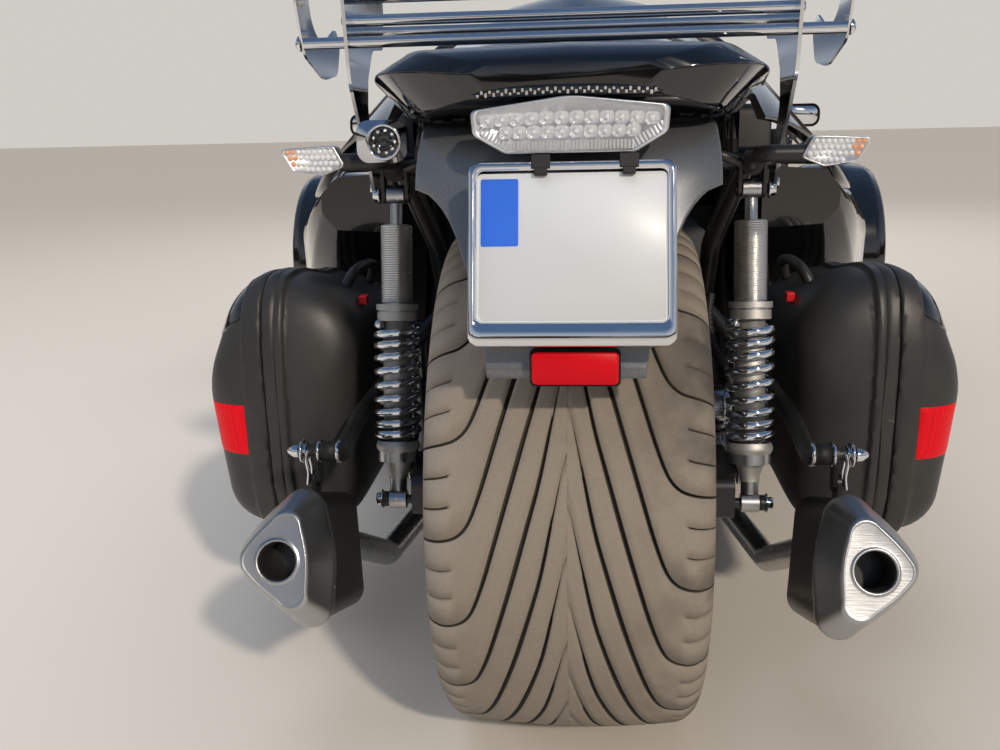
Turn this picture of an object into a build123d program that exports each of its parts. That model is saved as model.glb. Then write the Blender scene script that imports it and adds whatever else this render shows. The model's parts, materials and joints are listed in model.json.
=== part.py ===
"""Reverse trike: two steered front wheels, one very wide rear wheel, two seats side by side.

Millimetres, +Z up, +Y forward, +X the rider's right, ground at Z = 0.
Stations called y are measured forward from the rear axle; at() turns them into frame Y.
"""
from build123d import *
import math
import os

os.makedirs("parts", exist_ok=True)

# driving dimensions
REAR_AXLE_Y = -1402.5        # frame Y of the rear axle, so that the box is centred
WHEELBASE = 2286
REAR_R, REAR_W, REAR_RIM_R = 332, 301, 228.6       # 295/35R18
FRONT_R, FRONT_W, FRONT_RIM_R = 291, 195, 203.2    # 195/45R16
TRACK_X = 865                # half of the front track
KING_OFFSET = 65             # kingpin inboard of the wheel's middle
KINGPIN_X = TRACK_X - KING_OFFSET
FIT = 0.05                   # radial clearance of a running fit
SEAT_GAP = 0.3               # what lies on another piece stays this far off it
FENDER_W, FENDER_GAP = 246, 12
SCUTTLE_Y = WHEELBASE - 430  # where the cockpit ends and the nose begins
NOSE_LENGTH = 1309           # from there to the nose tip
TUB_BACK_Y = 822
TUB_HALF = 500
FLOOR_Z = 180
PLATE_TILT = 17.4            # degrees, the plate leans its top forwards


def at(y):
    return y + REAR_AXLE_Y


FRONT_AXLE = at(WHEELBASE)


# small builders
def block(x0, x1, y0, y1, z0, z1):
    """Box between corners; y from the rear axle."""
    shape = Pos((x0 + x1) / 2, at((y0 + y1) / 2), (z0 + z1) / 2)
    return shape * Box(abs(x1 - x0), abs(y1 - y0), abs(z1 - z0))


def rod(a, b, r, bore=0.0):
    """Round bar between two points (x, y from rear axle, z)."""
    p, q = Vector(a[0], at(a[1]), a[2]), Vector(b[0], at(b[1]), b[2])
    plane = Plane(origin=(p + q) * 0.5, z_dir=(q - p).normalized())
    shape = plane * Cylinder(r, (q - p).length)
    if bore:
        shape -= plane * Cylinder(bore, (q - p).length + 2)
    return shape


def tube(points, r, bend):
    """Round tube along straight runs joined by bends of one or several radii."""
    path = FilletPolyline(*[(x, at(y), z) for x, y, z in points], radius=bend)
    return sweep(Plane(origin=path @ 0, z_dir=path % 0) * Circle(r), path=path)


def across(x, y, z, r, length, bore=0.0):
    """Cylinder along X, centred on x."""
    return rod((x - length / 2, y, z), (x + length / 2, y, z), r, bore)


def mirrored(shape):
    return mirror(shape, about=Plane.YZ)


def both(shape):
    return Compound(children=[shape, mirrored(shape)])


def one(shape):
    """The single solid of a result, or a compound of its solids."""
    solids = shape.solids()
    return solids[0] if len(solids) == 1 else Compound(children=list(solids))


def put(shape, node):
    export_step(one(shape), f"parts/{node}.step")


def ring_x(profile):
    """Turn a profile of (x, radius) points about the X axis through the origin."""
    face = make_face(Polyline([(x, r, 0) for x, r in profile], close=True))
    return revolve(face, Axis.X)


def inset(points, d):
    """Closed outline with each side moved inwards by d."""
    loop = points[1:] + points[:1]
    turn = math.copysign(1, sum(ax * bz - bx * az for (ax, az), (bx, bz) in zip(points, loop)))
    out = []
    for i, (bx, bz) in enumerate(points):
        (ax, az), (cx, cz) = points[i - 1], points[(i + 1) % len(points)]
        u, v = Vector(bx - ax, bz - az).normalized(), Vector(cx - bx, cz - bz).normalized()
        n, m = Vector(-u.Y * turn, u.X * turn), Vector(-v.Y * turn, v.X * turn)
        move = (n + m) * (d / (1 + n.dot(m)))
        out.append((bx + move.X, bz + move.Y))
    return out


def station(y, points, radii):
    """Rounded closed outline of (x, z) points at one station."""
    line = FilletPolyline(*[(x, at(y), z) for x, z in points], radius=radii, close=True)
    return Wire(line.edges())


def hull(rows):
    """Smooth loft through rows of (y, points, radii)."""
    return Solid.make_loft([station(*row) for row in rows], ruled=False)


def shell(rows, wall, open_back=True, open_front=True):
    """Smooth loft with a wall, open or closed at each end."""
    inner = [[y, inset(points, wall), [max(r - wall, 2) for r in radii]] for y, points, radii in rows]
    inner[0][0] += -1 if open_back else wall
    inner[-1][0] += 1 if open_front else -wall
    return hull(rows) - hull(inner)


def whole(half):
    """Both halves of a symmetric outline given from the bottom right round to the top."""
    return half + [(-x, z) for x, z in reversed(half)]


def belt(circles, place):
    """Outline round circles (u, v, r) listed anticlockwise, as arcs and tangent lines."""
    n = len(circles)
    lean = []
    for (ua, va, ra), (ub, vb, rb) in zip(circles, circles[1:] + circles[:1]):
        far = math.hypot(ub - ua, vb - va)
        lean.append(math.atan2(vb - va, ub - ua) - math.pi / 2 + math.asin((ra - rb) / far))
    edges = []
    for i, (u, v, r) in enumerate(circles):
        a, b = lean[i - 1], lean[i]
        while b < a:
            b += 2 * math.pi
        arc = [place(u + r * math.cos(t), v + r * math.sin(t)) for t in (a, (a + b) / 2, b)]
        edges.append(ThreePointArc(*arc))
        un, vn, rn = circles[(i + 1) % n]
        edges.append(Line(arc[2], place(un + rn * math.cos(b), vn + rn * math.sin(b))))
    return Wire(edges)


def side_plate(circles, x, thick):
    """Flat plate in a plane of constant x round circles (y, z, r)."""
    face = Face(belt(circles, lambda y, z: (x - thick / 2, at(y), z)))
    return extrude(face, amount=thick, dir=(1, 0, 0))


def side_form(points, radii, x, thick):
    """Flat plate in a plane of constant x from a rounded outline of (y, z) points."""
    line = FilletPolyline(*[(x - thick / 2, at(y), z) for y, z in points], radius=radii, close=True)
    return extrude(Face(Wire(line.edges())), amount=thick, dir=(1, 0, 0))


# wheels and tyres
RIM_LIP, BARREL = 6, 9       # lip inboard of the tyre's side, barrel wall


def tyre(radius, width, bead):
    """Low-profile tyre: beads inside the rim's lips, flat tread, round shoulders."""
    h = width / 2
    foot = h - RIM_LIP - 6
    half = [(foot, bead), (foot, bead + 14), (h - 1, bead + 38), (h, radius - 46), (h - 8, radius - 22),
            (h - 30, radius - 6)]
    return ring_x([(-x, r) for x, r in half] + [(x, r) for x, r in reversed(half)])


def window(r0, r1, a0, a1, corner):
    """Rounded opening between two spokes: radii and half angles at its inner and outer end."""
    spots = [(r0, -a0), (r1, -a1), (r1, a1), (r0, a0)]
    line = FilletPolyline(*[(0, r * math.sin(math.radians(a)), r * math.cos(math.radians(a))) for r, a in spots],
                          radius=corner, close=True)
    return extrude(Face(Wire(line.edges())), amount=200, dir=(1, 0, 0), both=True)


def wheel(bead, width, face_out, face_in, hub_r, hub_x, bore):
    """Barrel with lips, dished face of five twin spokes, hub; faces are (x at hub, x at barrel)."""
    lip, seat = width / 2 - RIM_LIP, width / 2 - RIM_LIP - 5.7
    shape = ring_x([(-lip, bead + 9), (-seat, bead + 9), (-seat, bead - SEAT_GAP), (seat, bead - SEAT_GAP),
                    (seat, bead + 9), (lip, bead + 9), (lip, bead - BARREL), (-lip, bead - BARREL)])
    disc = ring_x([(face_in[0], hub_r - 8), (face_in[1], bead - BARREL + 2), (face_out[1], bead - BARREL + 2),
                   (face_out[0], hub_r - 8)])
    wide = window(hub_r + 22, bead - BARREL - 12, 13, 20, 10)
    slim = window(hub_r + 40, bead - BARREL - 14, 4.5, 6.5, 5)
    for i in range(5):
        disc -= Rot(72 * i, 0, 0) * wide
        disc -= Rot(72 * i + 36, 0, 0) * slim
    shape += disc
    hub = Rot(0, 90, 0) * Cylinder(hub_r, hub_x[1] - hub_x[0])
    shape += Pos(sum(hub_x) / 2, 0, 0) * hub
    return shape - Rot(0, 90, 0) * Cylinder(bore, 2 * width)


def brake_disc(x, r0, r1, thick, hub_r):
    """Disc ring on five arms at the hub."""
    disc = ring_x([(x - thick / 2, r0), (x - thick / 2, r1), (x + thick / 2, r1), (x + thick / 2, r0)])
    for i in range(5):
        disc += Rot(72 * i, 0, 0) * (Pos(x, 0, (r0 + hub_r) / 2) * Box(thick, 22, r0 - hub_r + 8))
    return disc


REAR_AXLE_R, FRONT_AXLE_R = 14, 16
REAR_HUB_R, REAR_HUB_X = 46, (-164, 164)
SPROCKET_X = (-168, -160)
REAR_DISC_X, REAR_DISC_R = 161, 138
REAR_SPROCKET_R = 112
rear_centre = Pos(0, at(0), REAR_R)
put(rear_centre * tyre(REAR_R, REAR_W, REAR_RIM_R), "tyre_rear")
rear_wheel = wheel(REAR_RIM_R, REAR_W, (24, 40), (0, 14), REAR_HUB_R, REAR_HUB_X, REAR_AXLE_R + FIT)
sprocket = Rot(0, 90, 0) * Cylinder(REAR_SPROCKET_R, SPROCKET_X[1] - SPROCKET_X[0])
sprocket -= Rot(0, 90, 0) * Cylinder(REAR_AXLE_R + FIT, 20)
for i in range(6):
    sprocket -= Rot(60 * i, 0, 0) * (Pos(0, 0, 76) * Rot(0, 90, 0) * Cylinder(18, 20))
rear_wheel += Pos(sum(SPROCKET_X) / 2, 0, 0) * sprocket
rear_wheel += brake_disc(REAR_DISC_X, 96, REAR_DISC_R, 6, REAR_HUB_R)
put(rear_centre * rear_wheel, "rim_rear")

FRONT_DISC_X, FRONT_DISC_R = -9, 140     # from the wheel's middle
FRONT_HUB_R, FRONT_HUB_X = 40, (-12, 70)
for side, sx in (("right", 1), ("left", -1)):
    centre = Pos(sx * TRACK_X, FRONT_AXLE, FRONT_R)
    put(centre * tyre(FRONT_R, FRONT_W, FRONT_RIM_R), f"tyre_front_{side}")
    front_wheel = wheel(FRONT_RIM_R, FRONT_W, (66, 80), (46, 58), FRONT_HUB_R, FRONT_HUB_X, FRONT_AXLE_R + FIT)
    front_wheel += brake_disc(FRONT_DISC_X, 96, FRONT_DISC_R, 6, FRONT_HUB_R)
    put(centre * (front_wheel if sx > 0 else mirrored(front_wheel)), f"rim_front_{side}")

# steered knuckles and fenders
KING_Z = ((150, 190), (372, 412))        # lower and upper ball-joint bosses, z0 z1
KING_R, BOSS_R = 12, 22
STAY_R, FENDER_WALL = 6, 5
DISC_FACE_X = TRACK_X + FRONT_DISC_X


def knuckle():
    """Upright inside the wheel: kingpin, plate, stub axle, caliper, steering arm."""
    low, high = KING_Z[0][1] + 8, KING_Z[1][0] - 8
    shape = rod((KINGPIN_X, WHEELBASE, KING_Z[0][0] - 6), (KINGPIN_X, WHEELBASE, KING_Z[1][1] + 6), KING_R)
    shape += side_plate([(WHEELBASE - 8, low + 16, 16), (WHEELBASE + 8, low + 16, 16), (WHEELBASE + 14, FRONT_R, 32),
                         (WHEELBASE + 6, high - 14, 14), (WHEELBASE - 6, high - 14, 14), (WHEELBASE - 14, FRONT_R, 32)],
                        KINGPIN_X, 24)
    shape += across((KINGPIN_X + TRACK_X + FRONT_HUB_X[1] + 6) / 2, WHEELBASE, FRONT_R, FRONT_AXLE_R,
                    TRACK_X + FRONT_HUB_X[1] + 6 - KINGPIN_X)
    shape += across((KINGPIN_X + TRACK_X + FRONT_HUB_X[0] - 9) / 2, WHEELBASE, FRONT_R, 30,
                    TRACK_X + FRONT_HUB_X[0] - 9 - KINGPIN_X)
    # caliper astride the disc, in front of the axle
    caliper = block(DISC_FACE_X - 30, DISC_FACE_X + 30, WHEELBASE + 98, WHEELBASE + 150, FRONT_R - 40, FRONT_R + 40)
    caliper = fillet(caliper.edges().filter_by(Axis.Z), 9)
    caliper -= block(DISC_FACE_X - 10, DISC_FACE_X + 10, WHEELBASE + 90, WHEELBASE + FRONT_DISC_R + 6,
                     FRONT_R - 42, FRONT_R + 42)
    shape += caliper
    shape += block(KINGPIN_X, DISC_FACE_X - 26, WHEELBASE + 20, WHEELBASE + 104, FRONT_R - 16, FRONT_R + 16)
    arm = Face(belt([(KINGPIN_X - 6, WHEELBASE - 110, 14), (KINGPIN_X, WHEELBASE - 20, 12),
                     (KINGPIN_X - 12, WHEELBASE - 20, 12)], lambda x, y: (x, at(y), 236)))
    shape += extrude(arm, amount=14, dir=(0, 0, 1))
    # two stays round the tyre's inner side up to the fender's inner wall
    stay_x, stay_z = TRACK_X - FENDER_W / 2 + FENDER_WALL + SEAT_GAP + STAY_R, FRONT_R + 6
    for s in (-1, 1):
        shape += tube([(KINGPIN_X - 4, WHEELBASE + s * 40, stay_z), (stay_x, WHEELBASE + s * 95, stay_z),
                       (stay_x, WHEELBASE + s * 95, FRONT_R + 252)], STAY_R, 14)
    return shape


FENDER_TURN = (34, 152)      # starts above the nose side, turns this far over and behind the wheel


def fender():
    """Rounded shell over the wheel with a lengthwise crease towards its outer edge."""
    h, r = FENDER_W / 2, FRONT_R + FENDER_GAP
    outline = [(-h, FRONT_R - 36), (-h, r - 12), (-h + 34, r + 4), (18, r + 13), (h - 30, r + 2), (h, r - 16),
               (h, FRONT_R - 36)]
    w = FENDER_WALL
    inner = [(h - w, FRONT_R - 36), (h - w, r - 18), (h - 33, r - 3), (18, r + 8), (-h + 36, r - 1), (-h + w, r - 14),
             (-h + w, FRONT_R - 36)]
    radii = [2, 26, 60, 24, 40, 20, 2]
    line = FilletPolyline(*[(x, rr, 0) for x, rr in outline + inner], radius=radii + [2, 16, 36, 20, 56, 22, 2],
                          close=True)
    return revolve(Rot(FENDER_TURN[0], 0, 0) * Face(Wire(line.edges())), Axis.X, FENDER_TURN[1])


for side, sx in (("right", 1), ("left", -1)):
    upright = knuckle()
    cover = Pos(TRACK_X, FRONT_AXLE, FRONT_R) * fender()
    put(upright if sx > 0 else mirrored(upright), f"knuckle_{side}")
    put(cover if sx > 0 else mirrored(cover), f"fender_{side}")

# front suspension
LOWER_PIVOT = (330, 130, sum(KING_Z[0]) / 2)     # x, half spread, z
UPPER_PIVOT = (392, 90, sum(KING_Z[1]) / 2)
ARM_R, PIVOT_R, PIVOT_LENGTH = 11, 17, 44
FRONT_SHOCK = ((600, WHEELBASE, 212), (452, WHEELBASE, 452))
EYE_R, EYE_W, BOLT_R = 12, 22, 6


def wishbone(z0, z1, pivot):
    """One A-arm: outer boss round the kingpin, two bars to the inner pivots."""
    inner_x, spread, zm = pivot
    arm = rod((KINGPIN_X, WHEELBASE, z0), (KINGPIN_X, WHEELBASE, z1), BOSS_R)
    for s in (-1, 1):
        arm += rod((KINGPIN_X - 10, WHEELBASE, zm), (inner_x, WHEELBASE + s * spread, zm), ARM_R)
        arm += rod((inner_x, WHEELBASE + s * spread - PIVOT_LENGTH / 2, zm),
                   (inner_x, WHEELBASE + s * spread + PIVOT_LENGTH / 2, zm), PIVOT_R)
    return arm - rod((KINGPIN_X, WHEELBASE, z0 - 9), (KINGPIN_X, WHEELBASE, z1 + 9), KING_R + FIT)


def on_shock(ends, t):
    return tuple(a + (b - a) * t for a, b in zip(*ends))


def spring(ends, t0, t1, r, wire, turns, bore):
    """Sleeve with a ridge for each turn of the coil."""
    a, b = on_shock(ends, t0), on_shock(ends, t1)
    p, q = Vector(a[0], at(a[1]), a[2]), Vector(b[0], at(b[1]), b[2])
    long = (q - p).length
    pitch = long / turns
    edges, x = [], 0.0
    for i in range(turns):
        edges.append(ThreePointArc((x, r - wire), (x + pitch / 2, r), (x + pitch, r - wire)))
        x += pitch
    edges += [Line((long, r - wire), (long, bore)), Line((long, bore), (0, bore)), Line((0, bore), (0, r - wire))]
    sleeve = revolve(Face(Wire(edges)), Axis.X)
    return Plane(origin=p, x_dir=(q - p).normalized(), z_dir=Vector(0, 1, 0).cross(q - p).normalized()) * sleeve


suspension = wishbone(*KING_Z[0], LOWER_PIVOT) + wishbone(*KING_Z[1], UPPER_PIVOT)
# spring seat bar between the two bars of the lower arm, with the coil-over's lower bolt
seat_x, seat_z = FRONT_SHOCK[0][0], FRONT_SHOCK[0][2]
suspension += rod((seat_x, WHEELBASE - 58, LOWER_PIVOT[2]), (seat_x, WHEELBASE + 58, LOWER_PIVOT[2]), 9)
for s in (-1, 1):
    suspension += block(seat_x - 14, seat_x + 14, WHEELBASE + s * (EYE_W / 2 + 2), WHEELBASE + s * (EYE_W / 2 + 7),
                        LOWER_PIVOT[2] - 4, seat_z + 14)
suspension += rod((seat_x, WHEELBASE - EYE_W / 2 - 5, seat_z), (seat_x, WHEELBASE + EYE_W / 2 + 5, seat_z), BOLT_R)
put(both(suspension), "wishbones")


def eye(spot, along_y=True):
    """Bushed eye round a bolt."""
    x, y, z = spot
    half = EYE_W / 2
    ends = ((x, y - half, z), (x, y + half, z)) if along_y else ((x - half, y, z), (x + half, y, z))
    return rod(*ends, EYE_R), rod(*ends, BOLT_R + FIT)


def coil_over(ends, body_r, spring_r, along_y, body=(0.10, 0.40), seats=(0.36, 0.41, 0.815, 0.885)):
    """Damper with eyes, threaded body, adjuster ring, rod and spring cup."""
    top, low = eye(ends[0], along_y), eye(ends[1], along_y)
    unit = top[0] + low[0] + rod(on_shock(ends, 0.03), on_shock(ends, body[0] + 0.01), 8)
    unit += rod(on_shock(ends, body[0]), on_shock(ends, body[1]), body_r)
    unit += rod(on_shock(ends, seats[0]), on_shock(ends, seats[1]), spring_r - 4)
    unit += rod(on_shock(ends, seats[1]), on_shock(ends, seats[2]), 12)
    unit += rod(on_shock(ends, seats[2]), on_shock(ends, seats[3]), spring_r - 3)
    unit += rod(on_shock(ends, seats[3]), on_shock(ends, 0.97), 11)
    return unit - top[1] - low[1]


# swingarm and rear coil-overs
SHOCK_X = 224
SHOCK_TOP, SHOCK_LOW = (SHOCK_X, 6, 700), (SHOCK_X + 2, -72, 312)
REAR_SHOCK = (SHOCK_TOP, SHOCK_LOW)
ARM_X = (178, 204)
PIVOT = (400, 316)           # swingarm pivot, y and z
front_pair = coil_over(FRONT_SHOCK[::-1], 18, 28, True, (0.12, 0.36), (0.32, 0.38, 0.80, 0.88))
rear_pair = coil_over(REAR_SHOCK, 19, 29, False, seats=(0.36, 0.41, 0.81, 0.87))
put(Compound(children=[rear_pair, mirrored(rear_pair), front_pair, mirrored(front_pair)]), "shock_bodies")
rear_spring = spring(REAR_SHOCK, 0.4115, 0.8085, 29, 7, 8, 19)
front_spring = spring(FRONT_SHOCK[::-1], 0.3815, 0.7985, 28, 6, 7, 18.5)
put(Compound(children=[rear_spring, mirrored(rear_spring), front_spring, mirrored(front_spring)]), "shock_springs")

arm_mid, arm_wide = sum(ARM_X) / 2, ARM_X[1] - ARM_X[0]
swing = side_form([(-98, 300), (-98, 352), (60, 358), (PIVOT[0] + 22, 346), (PIVOT[0] + 26, 292), (300, 262), (80, 268)],
                  [12, 16, 60, 16, 16, 60, 60], arm_mid, arm_wide)
swing -= side_form([(110, 300), (110, 322), (340, 322), (340, 300)], 9, arm_mid, arm_wide + 4)
swing += mirrored(swing)
swing += rod((-ARM_X[1], *PIVOT), (ARM_X[1], *PIVOT), 24)
swing += across(0, 0, REAR_R, REAR_AXLE_R, 2 * 220)
for s in (-1, 1):
    # lower shock bolt on its lug, axle nut
    swing += across(s * (ARM_X[1] + SHOCK_LOW[0] + EYE_W / 2 + 5) / 2, SHOCK_LOW[1], SHOCK_LOW[2], BOLT_R,
                    SHOCK_LOW[0] + EYE_W / 2 + 5 - ARM_X[1] + 4)
    swing += across(s * (SHOCK_LOW[0] + EYE_W / 2 + 5), SHOCK_LOW[1], SHOCK_LOW[2], 10, 6)
    swing += across(s * (ARM_X[1] + 5), 0, REAR_R, 20, 12)
# caliper over the disc, and its carrier on the right arm
swing += block(REAR_DISC_X - 18, ARM_X[0] + 8, 70, 160, 352, 424)
swing -= block(REAR_DISC_X - 9, REAR_DISC_X + 9, 40, 150, 330, 430)
put(swing, "swingarm")

# chassis tubes
RAIL_R, POST_R = 19, 12
RAIL = [(236, WHEELBASE + 184, 206), (250, WHEELBASE - 186, 200), (330, SCUTTLE_Y + 30, 150), (330, 520, 150),
        (262, PIVOT[0], 225), (262, PIVOT[0], 346)]
half_frame = tube(RAIL, RAIL_R, [300, 100, 80, 30])
for s in (-1, 1):
    low_y, high_y = WHEELBASE + s * LOWER_PIVOT[1], WHEELBASE + s * UPPER_PIVOT[1]
    half_frame += tube([(246, high_y, 204), (292, high_y, UPPER_PIVOT[2]),
                        (UPPER_PIVOT[0] - PIVOT_R - SEAT_GAP, high_y, UPPER_PIVOT[2])], POST_R, 30)
    half_frame += rod((246, low_y, 203), (LOWER_PIVOT[0] - PIVOT_R - 4, low_y, LOWER_PIVOT[2] + 8), 9)
# top mount of the front coil-over on its outrigger
shock_tower = FRONT_SHOCK[1]
half_frame += tube([(292, WHEELBASE - 90, UPPER_PIVOT[2]), (292, WHEELBASE - 30, shock_tower[2] + 40),
                    (shock_tower[0] - 6, WHEELBASE - 30, shock_tower[2] + 40)], 10, 30)
for s in (-1, 1):
    half_frame += block(shock_tower[0] - 14, shock_tower[0] + 14, WHEELBASE + s * (EYE_W / 2 + 2),
                        WHEELBASE + s * (EYE_W / 2 + 7), shock_tower[2] - 14, shock_tower[2] + 44)
half_frame += block(shock_tower[0] - 14, shock_tower[0] + 14, WHEELBASE - 38, WHEELBASE + EYE_W / 2 + 7,
                    shock_tower[2] + 30, shock_tower[2] + 44)
half_frame += rod((shock_tower[0], WHEELBASE - EYE_W / 2 - 5, shock_tower[2]),
                  (shock_tower[0], WHEELBASE + EYE_W / 2 + 5, shock_tower[2]), BOLT_R)
half_frame += across((ARM_X[1] + SEAT_GAP + 262) / 2, *PIVOT, 15, 262 - ARM_X[1] - SEAT_GAP)
frame = half_frame + mirrored(half_frame)
ENGINE_Z = 179.3
CROSS_R = 14
for y in (530, 740):
    frame += rod((-RAIL[3][0], y, ENGINE_Z - SEAT_GAP - CROSS_R), (RAIL[3][0], y, ENGINE_Z - SEAT_GAP - CROSS_R), CROSS_R)
frame += rod((-236, WHEELBASE + 172, 206), (236, WHEELBASE + 172, 206), CROSS_R)
frame += rod((-330, SCUTTLE_Y - 20, 150), (330, SCUTTLE_Y - 20, 150), CROSS_R)
put(frame, "frame_rails")

# roll hoop behind the seats, side rails round the cockpit down to the floor
HOOP_X, HOOP_Y, HOOP_R, HOOP_TOP = 300, 800, 20, 925
HOOP_FOOT = (RAIL[3][0], HOOP_Y, 150 + RAIL_R + SEAT_GAP)
hoop_half = [HOOP_FOOT, (HOOP_X, HOOP_Y, 480), (HOOP_X, HOOP_Y, HOOP_TOP)]
hoop = tube(hoop_half + [(-x, y, z) for x, y, z in reversed(hoop_half)], HOOP_R, [200, 70, 70, 200])
GUARD_R = 17
GUARD = [(HOOP_X, HOOP_Y, 705), (492, HOOP_Y + 6, 700), (578, 960, 690), (596, 1300, 674),
         (572, SCUTTLE_Y - 216, 670), (486, SCUTTLE_Y - 20, 660), (486, SCUTTLE_Y - 20, FLOOR_Z + SEAT_GAP)]
guard = tube(GUARD, GUARD_R, [90, 120, 500, 200, 24])
DASH_BAR = (SCUTTLE_Y - 20, 600)         # y and z of the bar that carries the dashboard
dash_bar = rod((-486, *DASH_BAR), (486, *DASH_BAR), CROSS_R)
nose_pins = [rod((486, SCUTTLE_Y - 20, z), (486, SCUTTLE_Y - SEAT_GAP, z), 9) for z in (350, 520)]
guard = guard + nose_pins
put(hoop + guard + mirrored(guard) + dash_bar, "roll_cage")

# tubes behind the seats: shock towers, tail tubes, indicator arms, muffler hangers
TOWER_Z = SHOCK_TOP[2] + 30
tower = rod((SHOCK_X - 1, -8, TOWER_Z), (262, HOOP_Y - HOOP_R - SEAT_GAP, 702), 13)
for s in (-1, 1):
    tower += side_plate([(SHOCK_TOP[1], SHOCK_TOP[2], 11), (SHOCK_TOP[1], TOWER_Z, 12)],
                        SHOCK_X + s * (EYE_W / 2 + 4), 4)
tower += across(SHOCK_X, *SHOCK_TOP[1:], BOLT_R, EYE_W + 16)
tower += tube([(226, 70, TOWER_Z - 2), (190, 110, 620), (194, 230, 500), (262, PIVOT[0], 430),
               (262, PIVOT[0], 346 + SEAT_GAP)], 13, [50, 60, 40])
IND_X = 258                  # flat inner face of the indicators
tower += tube([(SHOCK_X, 10, TOWER_Z), (212, -70, TOWER_Z + 14), (212, -138, 748), (IND_X - SEAT_GAP, -138, 748)],
              10, [40, 12])
# arms that carry the panniers, the deck and the cowl on flat bosses
CASE_BOSSES = [(280, 170, 455, 245), (280, 330, 459, 234)]       # x, y, z of the face, x of the tube
DECK_BOSS, COWL_BOSS = (240, 300, 752), (150, 80, 762)
for x, y, z, root in CASE_BOSSES:
    tower += rod((root, y, z), (x - SEAT_GAP, y, z), 9)
tower += rod((*DECK_BOSS[:2], 718), (*DECK_BOSS[:2], DECK_BOSS[2] - SEAT_GAP), 10)
tower += tube([(228, COWL_BOSS[1], 727), (COWL_BOSS[0], COWL_BOSS[1], 727),
               (*COWL_BOSS[:2], COWL_BOSS[2] - SEAT_GAP)], 8, 14)
RACK_BOLT = (24, TOWER_Z)    # y, z of the rack's lower bolt
tower += rod((SHOCK_X, *RACK_BOLT), (249.7, *RACK_BOLT), 8)
tower += rod((SHOCK_X, *RACK_BOLT), (181.3, *RACK_BOLT), 8)
HANGER = (-112, 392)         # y, z of the muffler's upper bolt
tower += tube([(192, 215, 515), (252, 170, 452), (284, -30, 410), (286, HANGER[0] - 10, HANGER[1])], 11, [40, 60])
tower += across(308, *HANGER, 8, 46)
LINK_X, LINK_LOW = 318, (HANGER[0], HANGER[1] - 36)
tower += side_plate([(*HANGER, 12), (*LINK_LOW, 10)], LINK_X, 5)
tower += across(LINK_X + 4, *LINK_LOW, 5, 14)
put(both(tower), "rear_subframe")

# engine with its output sprocket, drive chain on the left
FRONT_SPROCKET = (560, 330, 42)          # y, z, radius
engine = block(-150, 230, 470, 780, ENGINE_Z, 600)
engine = fillet(engine.edges().filter_by(Axis.Y), 24)
engine += across(-158, FRONT_SPROCKET[0], FRONT_SPROCKET[1], FRONT_SPROCKET[2], 20)
put(engine, "engine_block")
CHAIN_W, CHAIN_H = 12, 11


def chain_line(grow):
    return belt([(0, REAR_R, REAR_SPROCKET_R + grow), (*FRONT_SPROCKET[:2], FRONT_SPROCKET[2] + grow)],
                lambda y, z: (sum(SPROCKET_X) / 2 - CHAIN_W / 2, at(y), z))


chain = Face(chain_line(SEAT_GAP + CHAIN_H)) - Face(chain_line(SEAT_GAP))
put(extrude(chain, amount=CHAIN_W, dir=(1, 0, 0)), "drive_chain")

# cockpit tub: floor, bulkhead, tunnel with levers, toe board with pedals
tub = block(-TUB_HALF, TUB_HALF, TUB_BACK_Y, SCUTTLE_Y - 6, 150 + RAIL_R + SEAT_GAP, FLOOR_Z)
tub += block(-480, 480, TUB_BACK_Y, TUB_BACK_Y + 8, FLOOR_Z, 600)
POD_X = 506                              # flat inner side of the pods
SILL_END = DASH_BAR[0] - GUARD_R - 4     # behind the cage's front posts
sill = block(POD_X - SEAT_GAP - 6, POD_X - SEAT_GAP, TUB_BACK_Y, SILL_END, 150 + RAIL_R + SEAT_GAP, 250)
tub += sill + mirrored(sill)
tunnel = fillet(block(-60, 60, TUB_BACK_Y + 8, SCUTTLE_Y - 56, FLOOR_Z - 5, 330).edges().filter_by(Axis.Y), 22)
tub += tunnel - block(-54, 54, TUB_BACK_Y + 16, SCUTTLE_Y - 46, FLOOR_Z, 306)
tub += rod((0, 1500, 325), (0, 1530, 430), 8) + Pos(0, at(1532), 436) * Sphere(21)
tub += rod((30, 1230, 322), (30, 1390, 384), 9) + rod((30, 1380, 380), (30, 1480, 418), 13)
TOE_Y, TOE_Z, TOE_HALF = SCUTTLE_Y + 184, 212, 300
tub += block(-TOE_HALF, TOE_HALF, SCUTTLE_Y - 12, TOE_Y, TOE_Z, TOE_Z + 6)
tub += block(-TOE_HALF, TOE_HALF, SCUTTLE_Y - 12, SCUTTLE_Y - 6, FLOOR_Z - 4, TOE_Z + 6)
tub += block(-TOE_HALF, TOE_HALF, TOE_Y - 6, TOE_Y, TOE_Z, 470)
for x in (-272, -205, -140):
    tub += rod((x, TOE_Y - 4, 400), (x, TOE_Y - 60, 312), 7) + block(x - 25, x + 25, TOE_Y - 68, TOE_Y - 60, 266, 330)
put(tub, "cockpit_tub")

# two bucket seats
SEAT_X, SEAT_HALF, BOLSTER = 262, 180, 38
seat_z = FLOOR_Z + SEAT_GAP
middle = side_form([(1440, seat_z), (1452, 264), (1062, 238), (950, 800), (928, 880), (874, 880), (858, 640),
                    (985, seat_z)], [14, 34, 70, 300, 22, 24, 200, 20], SEAT_X, 2 * (SEAT_HALF - BOLSTER) + 2)
wing = side_form([(1436, seat_z), (1428, 300), (1130, 296), (1036, 470), (984, 744), (892, 756), (862, 560),
                  (985, seat_z)], [14, 46, 90, 120, 40, 34, 120, 20], SEAT_X + SEAT_HALF - BOLSTER / 2, BOLSTER)
seat = middle + wing + Pos(-2 * SEAT_HALF + BOLSTER, 0, 0) * wing
put(both(seat), "seats")

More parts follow.
